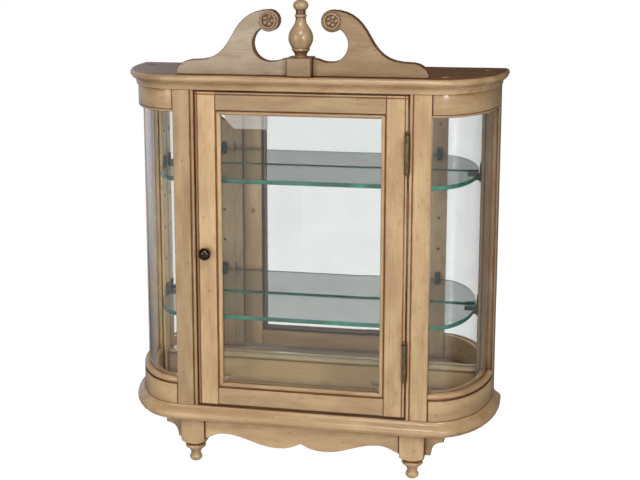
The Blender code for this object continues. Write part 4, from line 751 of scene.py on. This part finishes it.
def head_tree():
    """Geometry nodes that set a domed head with a cross recess on each point, facing as the point says."""
    tree = bpy.data.node_groups.new("screw_heads", "GeometryNodeTree")
    sockets = {}
    for name, kind in (("Places", "NodeSocketGeometry"), ("Dome", "NodeSocketFloat"),
                       ("Recess width", "NodeSocketFloat"), ("Recess length", "NodeSocketFloat"),
                       ("Metal", "NodeSocketMaterial")):
        sockets[name] = tree.interface.new_socket(name, in_out="INPUT", socket_type=kind).identifier
    tree.interface.new_socket("Heads", in_out="OUTPUT", socket_type="NodeSocketGeometry")
    given = put(tree, "NodeGroupInput")
    width = given.outputs["Recess width"]
    length = given.outputs["Recess length"]
    dome = given.outputs["Dome"]
    head = put(tree, "GeometryNodeMeshCone", {"Vertices": HEAD_SIDES, "Radius Top": HEAD_TOP,
                                              "Radius Bottom": 1.0, "Depth": dome}).outputs["Mesh"]
    high = put(tree, "ShaderNodeMath", {0: dome, 1: BAR_SHARE, 2: BAR_LIFT}, operation="MULTIPLY_ADD")
    raised = put(tree, "ShaderNodeCombineXYZ", {"Z": high.outputs[0]})
    for across, down in ((length, width), (width, length)):
        size = put(tree, "ShaderNodeCombineXYZ", {"X": across, "Y": down, "Z": BAR_HEIGHT})
        bar = put(tree, "GeometryNodeMeshCube", {"Size": size.outputs[0]})
        lifted = put(tree, "GeometryNodeTransform", {"Geometry": bar.outputs["Mesh"],
                                                     "Translation": raised.outputs[0]})
        head = put(tree, "GeometryNodeMeshBoolean", {"Mesh 1": head, "Mesh 2": lifted.outputs[0]},
                   operation="DIFFERENCE").outputs["Mesh"]
    facing = put(tree, "GeometryNodeInputNamedAttribute", {"Name": "facing"}, data_type="FLOAT_VECTOR")
    turn = put(tree, "FunctionNodeAlignRotationToVector", {"Vector": facing.outputs["Attribute"]}, axis="Z")
    radius = put(tree, "GeometryNodeInputNamedAttribute", {"Name": "head_radius"}, data_type="FLOAT")
    scattered = put(tree, "GeometryNodeInstanceOnPoints", {
        "Points": given.outputs["Places"], "Instance": head, "Rotation": turn.outputs["Rotation"],
        "Scale": radius.outputs["Attribute"]})
    real = put(tree, "GeometryNodeRealizeInstances", {"Geometry": scattered.outputs["Instances"]})
    coated = put(tree, "GeometryNodeSetMaterial", {"Geometry": real.outputs[0],
                                                   "Material": given.outputs["Metal"]})
    put(tree, "NodeGroupOutput", {"Heads": coated.outputs[0]})
    return tree, sockets


def set_heads(name, tree, sockets, places, material, body, dome, recess):
    """One mesh of screw or brad heads for one body, from places as point, facing and head radius."""
    mesh = bpy.data.meshes.new(name + "_places")
    mesh.from_pydata([place for place, _, _ in places], [], [])
    mesh.attributes.new("facing", "FLOAT_VECTOR", "POINT")
    mesh.attributes.new("head_radius", "FLOAT", "POINT")
    for k, (_, way, radius) in enumerate(places):
        mesh.attributes["facing"].data[k].vector = way
        mesh.attributes["head_radius"].data[k].value = radius
    piece = add_object(name, mesh)
    nodes = piece.modifiers.new("heads", "NODES")
    nodes.node_group = tree
    nodes[sockets["Dome"]] = dome
    nodes[sockets["Recess width"]] = recess[0]
    nodes[sockets["Recess length"]] = recess[1]
    nodes[sockets["Metal"]] = material
    bpy.context.view_layer.update()
    graph = bpy.context.evaluated_depsgraph_get()
    finished = bpy.data.meshes.new_from_object(piece.evaluated_get(graph))
    piece.modifiers.remove(nodes)
    piece.data = finished
    finished.name = name
    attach(piece, body)


def add_heads():
    """Screws in the top board's counterbores and the hanging plates, and brads round the back."""
    tree, sockets = head_tree()
    up = (0, 0, 1)
    back = (0, 1, 0)
    _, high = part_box("cornice_top")
    top = [((side * x, y, high.z - BORE_DEPTH), up, TOP_SCREW) for side in (-1, 1)
           for x, y in TOP_SCREW_PLACES]
    set_heads("top_screws", tree, sockets, top, ZINC, "case", SCREW_DOME, CROSS)
    plates = []
    for side in ("left", "right"):
        low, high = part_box("hanger_" + side)
        for z in (low.z + HANGER_SCREW_INSET, high.z - HANGER_SCREW_INSET):
            plates.append((((low.x + high.x) / 2, 0, z), back, HANGER_SCREW))
    set_heads("hanger_screws", tree, sockets, plates, ZINC, "case", HANGER_DOME, CROSS)
    low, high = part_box("back_panel")
    brads = []
    for k in range(BRADS_ACROSS + 1):
        x = low.x + BRAD_INSET + (high.x - low.x - 2 * BRAD_INSET) * k / BRADS_ACROSS
        brads += [((x, 0, z), back, BRAD) for z in (low.z + BRAD_INSET, high.z - BRAD_INSET)]
    for k in range(1, BRADS_DOWN):
        z = low.z + BRAD_INSET + (high.z - low.z - 2 * BRAD_INSET) * k / BRADS_DOWN
        brads += [((x, 0, z), back, BRAD) for x in (low.x + BRAD_INSET, high.x - BRAD_INSET)]
    set_heads("back_brads", tree, sockets, brads, ZINC, "case", BRAD_DOME, NO_CROSS)


def seen_share(tree):
    """Whether a ray shows the background, is the eye's own, is glossy, and how far gloss dims the view."""
    ray = put(tree, "ShaderNodeLightPath")
    eye = ray.outputs["Is Camera Ray"]
    glossy = ray.outputs["Is Glossy Ray"]
    passing = ray.outputs["Is Transmission Ray"]
    first = put(tree, "ShaderNodeMath", {0: eye, 1: glossy}, operation="MAXIMUM")
    share = put(tree, "ShaderNodeMath", {0: first.outputs[0], 1: passing}, operation="MAXIMUM")
    outer = put(tree, "ShaderNodeMath", {0: glossy, 1: passing}, operation="SUBTRACT", use_clamp=True)
    dim = put(tree, "ShaderNodeMapRange", {"Value": outer.outputs[0], "To Min": 1.0,
                                           "To Max": POLISHED_SHARE})
    return share.outputs[0], eye, glossy, dim.outputs[0]


def far_left_glow(tree, spot, glossy, left_edge, left_full):
    """How much of the room's pale far left corner a polished surface shows, from a place or a direction."""
    left = put(tree, "ShaderNodeMapRange", {"Value": spot.outputs["X"], "From Min": left_edge,
                                            "From Max": left_full})
    far = put(tree, "ShaderNodeMapRange", {"Value": spot.outputs["Y"], "From Min": FAR_END[0],
                                           "From Max": FAR_END[1]})
    corner = put(tree, "ShaderNodeMath", {0: left.outputs[0], 1: far.outputs[0]}, operation="MULTIPLY")
    seen = put(tree, "ShaderNodeMath", {0: corner.outputs[0], 1: glossy}, operation="MULTIPLY")
    glow = put(tree, "ShaderNodeMath", {0: seen.outputs[0], 1: FAR_LEFT_SHARE}, operation="MULTIPLY")
    colour = put(tree, "ShaderNodeMix", {0: seen.outputs[0], 6: linear("#FFFFFF"),
                                         7: linear(FAR_LEFT_COLOUR)}, data_type="RGBA")
    return glow.outputs[0], colour.outputs[2]


def add_floor():
    """A pale matt floor well below the hanging cabinet, near white to the eye, which keeps its shadow."""
    mesh = bpy.data.meshes.new("studio_floor")
    z = cad_box[0][2] - FLOOR_DROP
    corners = [(x * FLOOR_REACH, y * FLOOR_REACH, z) for x, y in ((-1, -1), (1, -1), (1, 1), (-1, 1))]
    mesh.from_pydata(corners, [], [(0, 1, 2, 3)])
    floor = add_object("studio_floor", mesh)
    material, tree, shader = new_material("pale_floor", Roughness=0.9, Specular_IOR_Level=0.0,
                                          Base_Color=linear("#DCDCDC"))
    share, eye, glossy, dim = seen_share(tree)
    lit = put(tree, "ShaderNodeMath", {0: share, 1: FLOOR_PLAIN}, operation="MULTIPLY")
    spot = put(tree, "ShaderNodeSeparateXYZ", {0: put(tree, "ShaderNodeTexCoord").outputs["Object"]})
    front = put(tree, "ShaderNodeMapRange", {"Value": spot.outputs["Y"], "From Min": FLOOR_FRONT[0],
                                             "From Max": FLOOR_FRONT[1], "To Min": FLOOR_WHITE,
                                             "To Max": BACK_SHARE})
    dimmed = put(tree, "ShaderNodeMath", {0: front.outputs[0], 1: dim}, operation="MULTIPLY")
    glow, colour = far_left_glow(tree, spot, glossy, *FLOOR_LEFT)
    polished = put(tree, "ShaderNodeMath", {0: dimmed.outputs[0], 1: glow}, operation="MAXIMUM")
    plain = put(tree, "ShaderNodeMath", {0: eye, 1: FLOOR_WHITE}, operation="MULTIPLY")
    level = put(tree, "ShaderNodeMath", {0: polished.outputs[0], 1: plain.outputs[0]}, operation="MAXIMUM")
    white = put(tree, "ShaderNodeEmission", {"Color": colour, "Strength": level.outputs[0]})
    both = put(tree, "ShaderNodeMixShader", {0: lit.outputs[0], 1: shader.outputs[0], 2: white.outputs[0]})
    feed(tree, tree.nodes["Material Output"], {"Surface": both.outputs[0]})
    mesh.materials.append(material)


def add_room():
    """A room bright in front and darker behind and overhead: white to the eye, soft and low as light."""
    world = bpy.data.worlds.new("studio")
    bpy.context.scene.world = world
    world.use_nodes = True
    tree = world.node_tree
    way = put(tree, "ShaderNodeSeparateXYZ", {0: put(tree, "ShaderNodeTexCoord").outputs["Generated"]})
    front = put(tree, "ShaderNodeMapRange", {"Value": way.outputs["Y"], "From Min": ROOM_FRONT[0],
                                             "From Max": ROOM_FRONT[1], "To Min": 1.0, "To Max": BACK_SHARE},
                interpolation_type="SMOOTHSTEP")
    high = put(tree, "ShaderNodeMapRange", {"Value": way.outputs["Z"], "From Min": ROOM_CEILING[0],
                                            "From Max": ROOM_CEILING[1], "To Min": 1.0,
                                            "To Max": CEILING_SHARE},
               interpolation_type="SMOOTHSTEP")
    wall = put(tree, "ShaderNodeMath", {0: front.outputs[0], 1: high.outputs[0]}, operation="MULTIPLY")
    share, eye, glossy, dim = seen_share(tree)
    level = put(tree, "ShaderNodeMapRange", {"Value": share, "To Min": ROOM_LIGHT, "To Max": 1.0})
    room = put(tree, "ShaderNodeMath", {0: level.outputs[0], 1: wall.outputs[0]}, operation="MULTIPLY")
    dimmed = put(tree, "ShaderNodeMath", {0: room.outputs[0], 1: dim}, operation="MULTIPLY")
    glow, colour = far_left_glow(tree, way, glossy, *ROOM_LEFT)
    polished = put(tree, "ShaderNodeMath", {0: dimmed.outputs[0], 1: glow}, operation="MAXIMUM")
    strength = put(tree, "ShaderNodeMath", {0: polished.outputs[0], 1: eye}, operation="MAXIMUM")
    feed(tree, tree.nodes["Background"], {"Color": colour, "Strength": strength.outputs[0]})


def add_lamp(name, place, target, size, power, lights, glints):
    """A square soft box aimed at a point, which may light matt surfaces, show in polished ones, or both."""
    data = bpy.data.lights.new(name, "AREA")
    data.shape = "SQUARE"
    data.size = size
    data.energy = power
    lamp = add_object(name, data)
    lamp.location = place
    lamp.rotation_euler = (Vector(target) - Vector(place)).to_track_quat("-Z", "Y").to_euler()
    lamp.visible_camera = False
    lamp.visible_diffuse = lights
    lamp.visible_glossy = glints
    lamp.visible_transmission = glints


def add_camera():
    """The camera that took the photograph, as solved from the cabinet's own edges."""
    forward = Vector((-math.sin(CAMERA_YAW) * math.cos(CAMERA_PITCH),
                      math.cos(CAMERA_YAW) * math.cos(CAMERA_PITCH), -math.sin(CAMERA_PITCH)))
    right = Vector((math.cos(CAMERA_YAW), math.sin(CAMERA_YAW), 0))
    up = right.cross(forward)
    rolled_right = right * math.cos(CAMERA_ROLL) + up * math.sin(CAMERA_ROLL)
    rolled_up = up * math.cos(CAMERA_ROLL) - right * math.sin(CAMERA_ROLL)
    width, height = FRAME_PIXELS
    data = bpy.data.cameras.new("photograph")
    data.sensor_width = SENSOR_WIDTH
    data.lens = FOCAL_PIXELS * SENSOR_WIDTH / width
    data.shift_x = (width / 2 - CENTRE_PIXELS[0]) / width
    data.shift_y = (CENTRE_PIXELS[1] - height / 2) / width
    camera = add_object("photograph", data)
    turn = Matrix((rolled_right, rolled_up, -forward)).transposed()
    camera.matrix_world = Matrix.Translation(CAMERA_PLACE) @ turn.to_4x4()
    bpy.context.scene.camera = camera


finish_wood()
finish_glass()
finish_fittings()
add_heads()
add_camera()
add_floor()
add_room()
for lamp in LAMPS:
    add_lamp(*lamp)
bpy.context.scene.view_settings.view_transform = "Standard"
